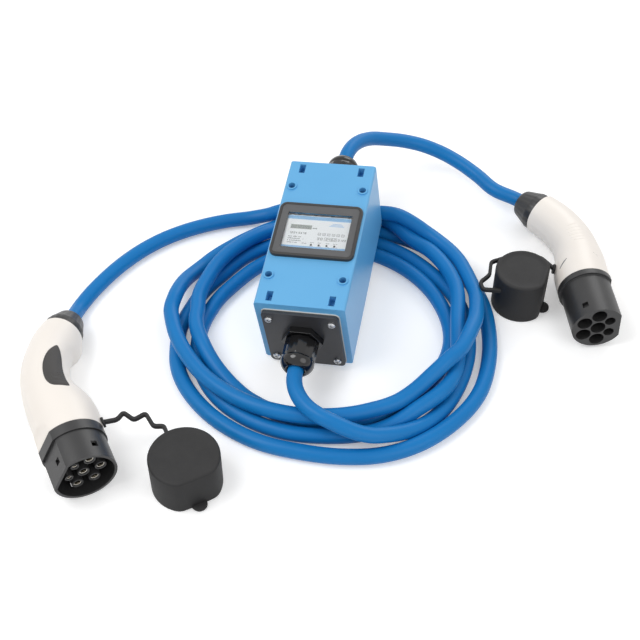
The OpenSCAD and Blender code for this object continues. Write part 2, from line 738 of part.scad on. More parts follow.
module front_gasket() {
    gasket(-1);
}

module rear_gasket() {
    gasket(1);
}

module plate_screws(side) {
    color("#c2c4c6") on_end(side) translate([0, side * plate_drop, 0])
        for (i = [-1, 1], j = [-1, 1]) translate([i * plate_screw, j * plate_screw, 0])
            screw(screw_d, 16, 8, 3);
}

module front_plate_screws() {
    plate_screws(-1);
}

module rear_plate_screws() {
    plate_screws(1);
}

module gland_body(side) {
    color("#26282a") on_end(side) difference() {
        union() {
            cylinder(d = gland_af / cos(30), h = gland_hex_h, $fn = 6);
            cylinder(d = neck_d, h = neck_l);
            translate([0, 0, -sleeve_l]) cylinder(d = gland_thread_d, h = sleeve_l + over);
        }
        translate([0, 0, -sleeve_l - over]) cylinder(d = gland_bore, h = 60);
        translate([0, 0, seal_from]) cylinder(d = seal_pocket_d, h = 60);
    }
}

module front_gland_body() {
    gland_body(-1);
}

module rear_gland_body() {
    gland_body(1);
}

// The dome nut, as a profile turned about the gland axis
module gland_nut(side) {
    ro = dome_d / 2;
    color("#1f2123") on_end(side) rotate_extrude()
        polygon([[neck_d / 2 + fit, gland_hex_h + 1], [ro, gland_hex_h + 1], [ro, gland_reach - 13],
            [ro - 1.6, gland_reach - 8], [ro - 5, gland_reach - 2.6], [ro - 7, gland_reach],
            [cable_d / 2 + 1, gland_reach], [cable_d / 2 + 1, gland_reach - 4],
            [seal_pocket_d / 2 + 0.4, gland_reach - 12], [seal_pocket_d / 2 + 0.4, neck_l + 1],
            [neck_d / 2 + fit, neck_l + 1]]);
}

module front_gland_nut() {
    gland_nut(-1);
}

module rear_gland_nut() {
    gland_nut(1);
}

module gland_seal(side) {
    color("#3b3d40") on_end(side) translate([0, 0, seal_from]) difference() {
        cylinder(d = seal_pocket_d - 0.2, h = seal_to - seal_from);
        translate([0, 0, -over]) cylinder(d = cable_d + cable_gap, h = 60);
    }
}

module front_gland_seal() {
    gland_seal(-1);
}

module rear_gland_seal() {
    gland_seal(1);
}

module locknut(side) {
    color("#2a2c2e") on_end(side) translate([0, 0, -plate_t - locknut_h]) difference() {
        cylinder(d = locknut_af / cos(30), h = locknut_h, $fn = 6);
        translate([0, 0, -over]) cylinder(d = plate_bore, h = 20);
    }
}

module front_locknut() {
    locknut(-1);
}

module rear_locknut() {
    locknut(1);
}

// D-shaped prism along +X with its flat side up
module d_prism(d, flat, x0, x1) {
    difference() {
        translate([x0, 0, 0]) rotate([0, 90, 0]) cylinder(d = d, h = x1 - x0);
        translate([x0 - over, -d, flat]) cube([x1 - x0 + 2 * over, 2 * d, d]);
    }
}

module rods(at, d, x0, x1) {
    for (p = at) translate([x0, p[0], p[1]]) rotate([0, 90, 0]) cylinder(d = d, h = x1 - x0);
}

// Places children at the button of a strap, with +Z pointing out of the handle
module at_peg(peg) {
    rotate([-peg[1], 0, 0]) translate([peg[0], 0, peg[2]]) rotate([0, peg[3], 0]) children();
}

module peg_hole(peg) {
    at_peg(peg) translate([0, 0, -8]) cylinder(d = peg_d + 2 * fit, h = 16);
}

module button(peg) {
    at_peg(peg) union() {
        translate([0, 0, -5]) cylinder(d = peg_d, h = 5 + over);
        cylinder(d = button_d, h = button_t);
    }
}

module connector_half(side) {
    color("#f1eeea") at_connector() difference() {
        half_shell(connector_stations, side);
        peg_hole(connector_peg);
    }
}

module connector_shell_left() {
    connector_half(1);
}

module connector_shell_right() {
    connector_half(-1);
}

module connector_grip(side) {
    color("#151618") at_connector() pad(connector_stations, 5, 10, 60, 120, side, grip_t);
}

module connector_grip_left() {
    connector_grip(1);
}

module connector_grip_right() {
    connector_grip(-1);
}

module connector_shroud() {
    color("#303235") at_connector() difference() {
        union() {
            d_prism(shroud_d, shroud_flat, 0, shroud_l);
            d_prism(shroud_flange_d, 29, 0, shroud_flange_t);
            d_prism(57, 25, -spigot_l, over);
        }
        d_prism(shroud_in_d, shroud_in_flat, 0, shroud_l + over);
        d_prism(50, 20, -spigot_l - over, over);
        // Windows for the locking pin, one at the top and one on each side
        for (a = [-95, 15, 95]) rotate([-a, 0, 0]) translate([shroud_l - 15, 0, 24])
            slab(6.5, 6.5, 0, 20);
    }
}

module connector_insert() {
    color("#1b1c1e") at_connector() difference() {
        union() {
            d_prism(shroud_in_d - 2 * fit, shroud_in_flat - fit, 0, insert_t);
            d_prism(48, 19, -8, over);
        }
        rods(power_at, power_bore + socket_rim + hold_fit, -8 - over, insert_t + over);
        rods(signal_at, signal_bore + small_rim + hold_fit, -8 - over, insert_t + over);
    }
}

// Insulating sleeves around the socket contacts
module towers(at, d, bore, rim) {
    difference() {
        rods(at, d, insert_t, tower_reach);
        rods(at, bore + rim + hold_fit, insert_t - over, tower_reach + over);
    }
}

module connector_towers() {
    color("#1b1c1e") at_connector() union() {
        towers(power_at, tower_d, power_bore, socket_rim);
        towers(signal_at, small_tower_d, signal_bore, small_rim);
    }
}

// Socket contact tubes, closed at the back
module sockets(at, bore, rim) {
    difference() {
        rods(at, bore + rim, -tail_l, tower_reach - contact_recess);
        rods(at, bore, insert_t + 1, tower_reach + over);
    }
}

module connector_power_contacts() {
    color("#d9d3c3") at_connector() sockets(power_at, power_bore, socket_rim);
}

module connector_signal_contacts() {
    color("#d9d3c3") at_connector() sockets(signal_at, signal_bore, small_rim);
}

// Cores between the end of the cable jacket and the backs of the contacts
module handle_cores(at, bend, rise, end) {
    b = behind(end, -jacket_in);
    for (p = at) {
        q = norm(p) > 0 ? p * core_ring / norm(p) : p;
        tip = [b[0] - sin(end[2]) * q[1], q[0], b[2] + cos(end[2]) * q[1]];
        tube([[-tail_l, p[0], p[1]], [-tail_l - 14, p[0] * 0.95, p[1] * 0.95],
            [bend, (p[0] + q[0]) / 2, rise + (p[1] + q[1]) / 2], tip],
            core_r, [-1, 0, 0], [-cos(end[2]), 0, -sin(end[2])], 6);
    }
}

module connector_wires() {
    color("#7a5a3a") at_connector() handle_cores(concat(power_at, signal_at), -76, 2, connector_end);
}

module collar() {
    tip = collar_l;
    rotate_extrude() polygon([[neck_r + fit, 0.1], [collar_d / 2 - 1.4, 0.1], [collar_d / 2, 1.5],
        [collar_d / 2, thread_l - 2], [collar_d / 2 - 1.6, thread_l + 2], [collar_tip_d / 2 + 1.2, tip - 3],
        [collar_tip_d / 2 - 1.4, tip], [cable_d / 2 + 0.5, tip], [cable_d / 2 + 0.5, tip - 4],
        [neck_bore - 1, thread_l + 2], [neck_bore - 1, thread_l + 0.4], [neck_r + fit, thread_l + 0.4]]);
}

module seal_ring() {
    translate([0, 0, 2]) difference() {
        cylinder(r = neck_bore - 0.4, h = thread_l - 2);
        translate([0, 0, -over]) cylinder(d = cable_d + cable_gap, h = 20);
    }
}

module connector_collar() {
    color("#1d1e20") at_connector() behind_handle(connector_end) collar();
}

module connector_seal() {
    color("#3b3d40") at_connector() behind_handle(connector_end) seal_ring();
}

module plug_half(side) {
    color("#f1eeea") at_plug() difference() {
        half_shell(plug_stations, side);
        peg_hole(plug_peg);
    }
}

module plug_shell_left() {
    plug_half(1);
}

module plug_shell_right() {
    plug_half(-1);
}

module plug_body() {
    color("#303235") at_plug() difference() {
        d_prism(plug_d, plug_flat, well_floor, plug_l);
        rods(power_at, plug_well_d, well_floor - over, plug_l + over);
        rods(signal_at, small_well_d, well_floor - over, plug_l + over);
        // Square recesses for the locking pin
        for (a = [-118, 118, 0]) rotate([-a, 0, 0])
            translate([plug_l - 12, 0, a == 0 ? plug_flat - 4 : plug_d / 2 - 4]) slab(6.5, 6.5, 0, 20);
    }
}

// Rear part of the plug that holds the pins and closes the wells
module plug_carrier() {
    color("#303235") at_plug() difference() {
        union() {
            d_prism(plug_d, plug_flat, 0, well_floor);
            d_prism(plug_flange_d, 26, 0, plug_flange_t);
            d_prism(52, 21, -plug_root, over);
        }
        rods(power_at, power_pin + pin_step + hold_fit, -plug_root - over, well_floor + over);
        rods(signal_at, signal_pin + pin_step + hold_fit, -plug_root - over, well_floor + over);
    }
}

// Solid contact pins, thicker where they are held, with tapered tips
module pins(at, d) {
    tip = plug_l - pin_recess;
    for (p = at) translate([-tail_l, p[0], p[1]]) rotate([0, 90, 0]) union() {
        cylinder(d = d + pin_step, h = tail_l + well_floor);
        cylinder(d = d, h = tip + tail_l - d / 3);
        translate([0, 0, tip + tail_l - d / 3]) cylinder(d1 = d, d2 = d * 0.5, h = d / 3);
    }
}

module plug_power_pins() {
    color("#d9d3c3") at_plug() pins(power_at, power_pin);
}

module plug_signal_pins() {
    color("#d9d3c3") at_plug() pins(signal_at, signal_pin);
}

module plug_wires() {
    color("#7a5a3a") at_plug() handle_cores(concat(power_at, signal_at), -62, 3, plug_end);
}

module plug_collar() {
    color("#1d1e20") at_plug() behind_handle(plug_end) collar();
}

module plug_seal() {
    color("#3b3d40") at_plug() behind_handle(plug_end) seal_ring();
}

// Zigzag strap through given points, with mitred corners
module strap(points, z) {
    m = len(points);
    ahead = [for (i = [0 : m - 2]) unit(points[i + 1] - points[i])];
    left = [for (d = ahead) [-d[1], d[0]]];
    shift = [for (i = [0 : m - 1]) i == 0 ? left[0] : i == m - 1 ? left[m - 2]
        : (left[i - 1] + left[i]) / (1 + left[i - 1] * left[i])];
    translate([0, 0, z]) linear_extrude(height = strap_h) polygon(concat(
        [for (i = [0 : m - 1]) points[i] + shift[i] * strap_w / 2],
        [for (i = [m - 1 : -1 : 0]) points[i] - shift[i] * strap_w / 2]));
}

// A cup with a flat side, open end on the floor
module cup(d, flat, height, w) {
    difference() {
        union() {
            difference() {
                rotate_extrude() polygon([[0, 0.1], [d / 2, 0.1], [d / 2, height - 3],
                    [d / 2 - 0.9, height - 0.9], [d / 2 - 3, height], [0, height]]);
                translate([flat, -d, -over]) cube([d, 2 * d, height + 2 * over]);
            }
            translate([flat, 0, 0.1]) cylinder(r = tab_r, h = tab_t);
        }
        difference() {
            translate([0, 0, -over]) cylinder(d = d - 2 * w, h = height - w + over);
            translate([flat - w, -d, -2 * over]) cube([d, 2 * d, height + 4 * over]);
        }
    }
}

module connector_cap() {
    d = shroud_d + 2 * cap_fit + 2 * big_cap_wall;
    flat = shroud_flat + cap_fit + big_cap_wall;
    color("#2a2b2d") union() {
        translate(big_cap_at) rotate(big_cap_turn) cup(d, flat, big_cap_h, big_cap_wall);
        strap(concat([peg_xy(connector_peg, connector_turn, connector_at)], big_strap), big_strap_z);
        at_connector() button(connector_peg);
    }
}

module plug_cap() {
    d = plug_d + 2 * cap_fit + 2 * small_cap_wall;
    flat = plug_flat + cap_fit + small_cap_wall;
    color("#2a2b2d") union() {
        translate(small_cap_at) rotate(small_cap_turn) cup(d, flat, small_cap_h, small_cap_wall);
        strap(concat([peg_xy(plug_peg, plug_turn, plug_at)], small_strap), small_strap_z);
        at_plug() button(plug_peg);
    }
}

// Cross-section of the turns that lie on the floor
module lower_turns() {
    for (i = [0 : 2]) translate([coil_r + i * coil_pitch, lower_z]) circle(d = cable_d);
    translate([coil_r, lower_z - 4]) square([2 * coil_pitch, 8]);
}

// One upper turn between two angles, settled between two lower ones
module upper_turn(r, from, to) {
    rotate([0, 0, from]) rotate_extrude(angle = to - from) union() {
        translate([r, upper_z]) circle(d = cable_d);
        translate([r - 4, lower_z]) square([8, upper_z - lower_z]);
    }
}

module cable_coil() {
    color("#1668c4") translate([coil_x, coil_y, 0]) union() {
        rotate_extrude() union() lower_turns();
        upper_turn(upper_in_r, inner_from, inner_to);
        upper_turn(upper_out_r, drop_angle, tail_angle);
    }
}

module front_drop() {
    path = concat([on_gland_axis(-82), on_gland_axis(-112), on_gland_axis(-142)], drop_points,
        [ring_point(drop_angle)]);
    color("#1668c4") tube(path, cable_d / 2, [0, -cos(box_pitch), -sin(box_pitch)],
        [-sin(drop_angle), cos(drop_angle), 0]);
}

// Middle of the cable inside a collar and handle
function in_handle(end, s, turn, at) = placed(behind(end, s), turn, at);

module connector_tail() {
    e = connector_end;
    path = concat([ring_point(tail_angle)], tail_points,
        [for (s = [collar_l + 8, collar_l - 2, 12, -jacket_in]) in_handle(e, s, connector_turn, connector_at)]);
    last = in_handle(e, -jacket_in, connector_turn, connector_at) - in_handle(e, 0, connector_turn, connector_at);
    color("#1668c4") tube(path, cable_d / 2, [-sin(tail_angle), cos(tail_angle), 0], last);
}

module plug_lead() {
    e = plug_end;
    path = concat([on_gland_axis(82), on_gland_axis(112), on_gland_axis(142)], lead_points,
        [for (s = [collar_l + 4, collar_l - 4, 12, -jacket_in]) in_handle(e, s, plug_turn, plug_at)]);
    last = in_handle(e, -jacket_in, plug_turn, plug_at) - in_handle(e, 0, plug_turn, plug_at);
    color("#1668c4") tube(path, cable_d / 2, [0, cos(box_pitch), sin(box_pitch)], last);
}

housing_base();
housing_cover();
cover_screws();
window_frame();
window_pane();
meter_body();
meter_display();
meter_lamps();
terminal_screws();
meter_latch();
din_rail();
rail_screws();
supply_wires();
load_wires();
earth_and_pilot_wires();
front_plate();
rear_plate();
front_gasket();
rear_gasket();
front_plate_screws();
rear_plate_screws();
front_gland_body();
rear_gland_body();
front_gland_nut();
rear_gland_nut();
front_gland_seal();
rear_gland_seal();
front_locknut();
rear_locknut();
connector_shell_left();
connector_shell_right();
connector_grip_left();
connector_grip_right();
connector_shroud();
connector_insert();
connector_towers();
connector_power_contacts();
connector_signal_contacts();
connector_wires();
connector_collar();
connector_seal();
connector_cap();
plug_shell_left();
plug_shell_right();
plug_body();
plug_carrier();
plug_power_pins();
plug_signal_pins();
plug_wires();
plug_collar();
plug_seal();
plug_cap();
cable_coil();
front_drop();
connector_tail();
plug_lead();
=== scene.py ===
import math

import bmesh
import bpy
import numpy as np
from mathutils import Euler, Matrix, Vector


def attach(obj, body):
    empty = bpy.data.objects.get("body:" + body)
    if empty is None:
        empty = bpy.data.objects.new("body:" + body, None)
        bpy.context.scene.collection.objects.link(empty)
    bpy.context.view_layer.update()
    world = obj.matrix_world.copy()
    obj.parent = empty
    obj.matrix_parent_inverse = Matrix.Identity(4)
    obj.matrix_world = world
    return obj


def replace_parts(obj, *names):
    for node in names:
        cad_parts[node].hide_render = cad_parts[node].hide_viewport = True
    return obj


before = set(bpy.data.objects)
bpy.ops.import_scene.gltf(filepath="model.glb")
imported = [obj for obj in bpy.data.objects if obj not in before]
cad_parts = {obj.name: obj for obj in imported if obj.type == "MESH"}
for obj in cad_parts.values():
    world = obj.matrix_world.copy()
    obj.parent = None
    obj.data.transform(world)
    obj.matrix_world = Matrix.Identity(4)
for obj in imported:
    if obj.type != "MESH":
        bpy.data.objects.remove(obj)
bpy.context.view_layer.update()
print("frame loaded:", len(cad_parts), "nodes")


def linked(item):
    bpy.context.scene.collection.objects.link(item)
    return item


# camera: place in metres, angles in degrees, lens and sensor in mm
photoView = {"place": (0.1718, -0.9095, 0.9958), "azimuth": 10.8, "elevation": 48.0, "lens": 69.0, "sensor": 36.0,
             "near": 0.05, "far": 20}


def makeCamera():
    turn, tilt = math.radians(photoView["azimuth"]), math.radians(photoView["elevation"])
    back = Vector((math.sin(turn) * math.cos(tilt), -math.cos(turn) * math.cos(tilt), math.sin(tilt)))
    camera = linked(bpy.data.objects.new("photoCamera", bpy.data.cameras.new("photoCamera")))
    camera.data.lens, camera.data.sensor_width = photoView["lens"], photoView["sensor"]
    camera.data.clip_start, camera.data.clip_end = photoView["near"], photoView["far"]
    camera.location = photoView["place"]
    camera.rotation_euler = (-back).to_track_quat("-Z", "Y").to_euler()
    bpy.context.scene.camera = camera


makeCamera()


# places of pieces: distances in mm, angles in degrees
def shifted(x, y, z):
    return Matrix.Translation((x / 1000, y / 1000, z / 1000))


def turned(angle, axis):
    return Matrix.Rotation(math.radians(angle), 4, axis)


def standing(turn, at):
    return shifted(*at) @ Euler([math.radians(a) for a in turn], "XYZ").to_matrix().to_4x4()


boxPlace = {"lift": 63.189, "pitch": 7.5, "roll": 4.9, "plate": 101}
boxMatrix = shifted(0, 0, boxPlace["lift"]) @ turned(boxPlace["pitch"], "X") @ turned(-boxPlace["roll"], "Y")
connectorMatrix = standing((62.5, 2.6, -54.2), (-197.4, -259.3, 33.9))
plugMatrix = standing((-86.8, -1, -74.2), (282.4, 44.6, 30.1))


# mesh helpers: a part is a pair of points in metres and faces
def shadeSmooth(mesh):
    mesh.polygons.foreach_set("use_smooth", [True] * len(mesh.polygons))


def newPiece(name, part, finish=None, matrix=None, smooth=35):
    mesh = bpy.data.meshes.new(name)
    mesh.from_pydata([tuple(p) for p in part[0]], [], [tuple(f) for f in part[1]])
    mesh.validate()
    if matrix is not None:
        mesh.transform(matrix)
    shadeSmooth(mesh)
    mesh.set_sharp_from_angle(angle=math.radians(smooth))
    piece = linked(bpy.data.objects.new(name, mesh))
    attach(piece, "root")
    if finish:
        paint(piece, finish)
    return piece


def paint(piece, finish):
    piece.data.materials.clear()
    piece.data.materials.append(materials[finish])


def gridFaces(rows, cols, closed=True, flip=False):
    faces = []
    for i in range(rows - 1):
        for k in range(cols if closed else cols - 1):
            a, b = i * cols + k, i * cols + (k + 1) % cols
            quad = (a, b, b + cols, a + cols)
            faces.append(quad[::-1] if flip else quad)
    return faces


# faces that join the last ring of a grid to its first
def closingFaces(rows, cols):
    last = (rows - 1) * cols
    return [(last + k, last + (k + 1) % cols, (k + 1) % cols, k) for k in range(cols)]


def joined(parts):
    points, faces = [], []
    for some, quads in parts:
        start = len(points)
        points += [tuple(p) for p in some]
        faces += [tuple(start + i for i in f) for f in quads]
    return points, faces


def moved(part, matrix):
    return [tuple(matrix @ Vector(p)) for p in part[0]], part[1]


# a profile of (radius, height) in mm turned about Z; shape(radius, height, angle) may change a radius
def lathe(profile, sides, shape=None):
    points = []
    for r, z in profile:
        for k in range(sides):
            a = 2 * math.pi * k / sides
            q = shape(r, z, a) if shape else r
            points.append((q * math.cos(a) / 1000, q * math.sin(a) / 1000, z / 1000))
    return points, gridFaces(len(profile), sides)


# rows of a table at other places, on a smooth curve through its rows
def sampled(table, at, where):
    slopes = np.stack([np.gradient(column, at) for column in table.T], 1)
    i = np.clip(np.searchsorted(at, where) - 1, 0, len(at) - 2)
    span = (at[i + 1] - at[i])[:, None]
    t = (where - at[i])[:, None] / span
    return ((2 * t**3 - 3 * t**2 + 1) * table[i] + (t**3 - 2 * t**2 + t) * span * slopes[i]
            + (3 * t**2 - 2 * t**3) * table[i + 1] + (t**3 - t**2) * span * slopes[i + 1])


def distances(points):
    return np.concatenate([[0], np.cumsum(np.linalg.norm(np.diff(points, axis=0), axis=1))])


def smoothTrack(points, step):
    table = np.array(points, float)
    at = distances(table)
    return sampled(table, at, np.linspace(0, at[-1], int(round(at[-1] / step)) + 1))


# shader nodes: each input, by name or number, is a value or the output that feeds it
def feed(tree, node, inputs):
    for key, value in inputs.items():
        if isinstance(value, bpy.types.NodeSocket):
            tree.links.new(value, node.inputs[key])
        else:
            node.inputs[key].default_value = value


def addNode(tree, kind, inputs, **settings):
    node = tree.nodes.new("ShaderNode" + kind)
    for key, value in settings.items():
        setattr(node, key, value)
    feed(tree, node, inputs)
    return node.outputs


def worked(tree, operation, *values):
    return addNode(tree, "Math", dict(enumerate(values)), operation=operation)[0]


# node groups shared by several materials
def startGroup(name, inputs, outputs):
    group = bpy.data.node_groups.new(name, "ShaderNodeTree")
    for label, value in inputs.items():
        kind = "NodeSocketColor" if isinstance(value, tuple) else "NodeSocketFloat"
        group.interface.new_socket(name=label, in_out="INPUT", socket_type=kind).default_value = value
    for label in outputs:
        kind = "NodeSocketColor" if label == "Colour" else "NodeSocketFloat"
        group.interface.new_socket(name=label, in_out="OUTPUT", socket_type=kind)
    return group, group.nodes.new("NodeGroupInput").outputs, group.nodes.new("NodeGroupOutput")


def makeMouldedSkin():
    group, source, sink = startGroup("mouldedSkin", {
        "Colour": (0.5, 0.5, 0.5, 1), "Shade": (0.4, 0.4, 0.4, 1), "Rough": 0.4, "Rough Range": 0.1,
        "Grain Size": 1500, "Cloud Size": 25}, ("Colour", "Roughness", "Height"))
    place = addNode(group, "TexCoord", {})["Object"]
    cloud = addNode(group, "TexNoise", {"Vector": place, "Scale": source["Cloud Size"], "Detail": 3})["Fac"]
    grain = addNode(group, "TexNoise", {
        "Vector": place, "Scale": source["Grain Size"], "Detail": 2, "Roughness": 0.6})["Fac"]
    tint = addNode(group, "Mix", {"Factor": cloud, 6: source["Colour"], 7: source["Shade"]}, data_type="RGBA")[2]
    rough = worked(group, "MULTIPLY_ADD", grain, source["Rough Range"], source["Rough"])
    feed(group, sink, {"Colour": tint, "Roughness": rough, "Height": grain})
    return group


def makeDustFilm():
    group, source, sink = startGroup("dustFilm", {
        "Colour": (0.1, 0.1, 0.1, 1), "Dust": (0.35, 0.34, 0.33, 1), "Amount": 0.15, "Size": 60}, ("Colour",))
    place = addNode(group, "TexCoord", {})["Object"]
    patches = addNode(group, "TexNoise", {
        "Vector": place, "Scale": source["Size"], "Detail": 6, "Roughness": 0.7})["Fac"]
    upward = addNode(group, "SeparateXYZ", {0: addNode(group, "NewGeometry", {})["Normal"]})["Z"]
    lying = addNode(group, "MapRange", {"Value": upward, "From Min": 0.2})["Result"]
    share = worked(group, "MULTIPLY", worked(group, "MULTIPLY", patches, lying), source["Amount"])
    cover = addNode(group, "Mix", {"Factor": share, 6: source["Colour"], 7: source["Dust"]}, data_type="RGBA")[2]
    feed(group, sink, {"Colour": cover})
    return group


mouldedSkin = makeMouldedSkin()
dustFilm = makeDustFilm()


def srgb(code):
    parts = [int(code[i:i + 2], 16) / 255 for i in (0, 2, 4)]
    return tuple(p / 12.92 if p <= 0.04045 else ((p + 0.055) / 1.055) ** 2.4 for p in parts) + (1.0,)


# finishes: colour, its darker cloud, roughness and its spread, grain size, grain depth in mm, and what else differs
finishes = {
    "housingBlue": ("62abdc", "5ca6d8", 0.34, 0.12, 1800, 0.06, {}),
    "cableJacket": ("1478bd", "1171b4", 0.40, 0.14, 900, 0.07, {"spec": 0.22}),
    "handleWhite": ("f1ebe4", "ede6de", 0.36, 0.10, 1600, 0.05, {"spec": 0.4}),
    "blackMoulding": ("2a2a2b", "252526", 0.40, 0.16, 1700, 0.08, {"dust": 0.04}),
    "blackPlate": ("343437", "2f2f31", 0.36, 0.10, 1500, 0.05, {"dust": 0.08}),
    "frameBlack": ("2e2d2d", "292828", 0.34, 0.12, 2000, 0.04, {"spec": 0.4, "dust": 0.08}),
    # a lighter copy of frameBlack for the frame's bevels: painted reflection
    "frameBevelPaintedReflection": ("505153", "494a4c", 0.50, 0.14, 2000, 0.06, {"dust": 0.08}),
    "glandBlack": ("131314", "101011", 0.14, 0.08, 1200, 0.03, {"spec": 0.3, "coat": 0.5}),
    "capRubber": ("252526", "202021", 0.62, 0.16, 1100, 0.10, {"spec": 0.3, "dust": 0.05}),
    "gripRubber": ("333130", "2d2b2a", 0.58, 0.16, 1500, 0.10, {"dust": 0.06}),
    "sealRubber": ("3a3c3e", "333537", 0.65, 0.10, 900, 0.08, {}),
    "gasketGrey": ("d4d4ce", "c8c8c2", 0.60, 0.12, 1400, 0.08, {}),
    "contactSilver": ("d8d4cc", "c4bfb4", 0.20, 0.14, 700, 0.03, {"metal": 1.0}),
    "screwSteel": ("cfd1d3", "b9bbbe", 0.26, 0.16, 1500, 0.04, {"metal": 1.0}),
    "railSteel": ("c4c6c6", "b2b4b5", 0.38, 0.18, 500, 0.05, {"metal": 1.0}),
    "meterWhite": ("eef0ef", "e6e8e8", 0.42, 0.10, 1500, 0.04, {}),
    "meterFace": ("f1f2f3", "eceef0", 0.30, 0.06, 1500, 0.02, {}),
    "printBlue": ("8fc0e8", "85b8e2", 0.32, 0.06, 1500, 0.02, {}),
    # grey for print on the meter, and painted shade on the strips that stand for the plug's catch slots
    "printGreyAndSlotShade": ("6f7274", "666a6c", 0.35, 0.06, 1500, 0.02, {}),
    "displayGrey": ("a9ada8", "a1a5a0", 0.22, 0.06, 900, 0.02, {}),
    "lampDark": ("3a3d40", "303336", 0.18, 0.06, 900, 0.02, {"coat": 0.4}),
    "coreBrown": ("6a3c20", "5c331a", 0.40, 0.10, 900, 0.05, {}),
    "coreBlack": ("1d1d1f", "171719", 0.40, 0.10, 900, 0.05, {}),
    "coreGreen": ("8f9a1e", "3f8a2a", 0.40, 0.10, 900, 0.05, {}),
}
surface = {"bump": 0.6, "coatRough": 0.08, "cores": 5.0, "coreHeight": 1.2, "rings": 320, "ringHeight": 0.5}


# the cores twisted inside the jacket show as a very shallow spiral
def coreLay(tree, height):
    along = addNode(tree, "SeparateXYZ", {0: addNode(tree, "UVMap", {}, uv_map="along")["UV"]})
    phase = worked(tree, "MULTIPLY_ADD", along["Y"], surface["cores"], along["X"])
    wave = worked(tree, "SINE", worked(tree, "MULTIPLY", phase, 2 * math.pi))
    return worked(tree, "MULTIPLY_ADD", wave, surface["coreHeight"], height)


# fine turning rings on the top of a moulded cap
def turnedRings(tree, height):
    rings = addNode(tree, "TexWave", {"Scale": surface["rings"], "Vector": addNode(tree, "TexCoord", {})["Object"]},
                    wave_type="RINGS", rings_direction="Z")
    return worked(tree, "MULTIPLY_ADD", rings["Fac"], surface["ringHeight"], height)


extras = {"cableJacket": coreLay, "capRubber": turnedRings}


def newMaterial(name):
    material = bpy.data.materials.new(name)
    material.use_nodes = True
    return material, material.node_tree, material.node_tree.nodes["Principled BSDF"]


def makeFinish(name):
    colour, shade, rough, spread, grain, depth, more = finishes[name]
    material, tree, shader = newMaterial(name)
    skin = addNode(tree, "Group", {
        "Colour": srgb(colour), "Shade": srgb(shade), "Rough": rough - spread / 2, "Rough Range": spread,
        "Grain Size": grain}, node_tree=mouldedSkin)
    base, height = skin["Colour"], skin["Height"]
    if "dust" in more:
        base = addNode(tree, "Group", {"Colour": base, "Amount": more["dust"]}, node_tree=dustFilm)["Colour"]
    if name in extras:
        height = extras[name](tree, height)
    bump = addNode(tree, "Bump", {"Height": height, "Distance": depth / 1000, "Strength": surface["bump"]})
    feed(tree, shader, {
        "Base Color": base, "Roughness": skin["Roughness"], "Normal": bump["Normal"],
        "Metallic": more.get("metal", 0), "Specular IOR Level": more.get("spec", 0.5),
        "Coat Weight": more.get("coat", 0), "Coat Roughness": surface["coatRough"]})
    return material


def makePaneGlass():
    material, tree, shader = newMaterial("paneGlass")
    feed(tree, shader, {"Base Color": (0.97, 0.985, 0.99, 1), "Roughness": 0.03, "IOR": 1.45,
                        "Transmission Weight": 1.0})
    return material


materials = {name: makeFinish(name) for name in finishes}
materials["paneGlass"] = makePaneGlass()
print("finishes made:", len(materials))


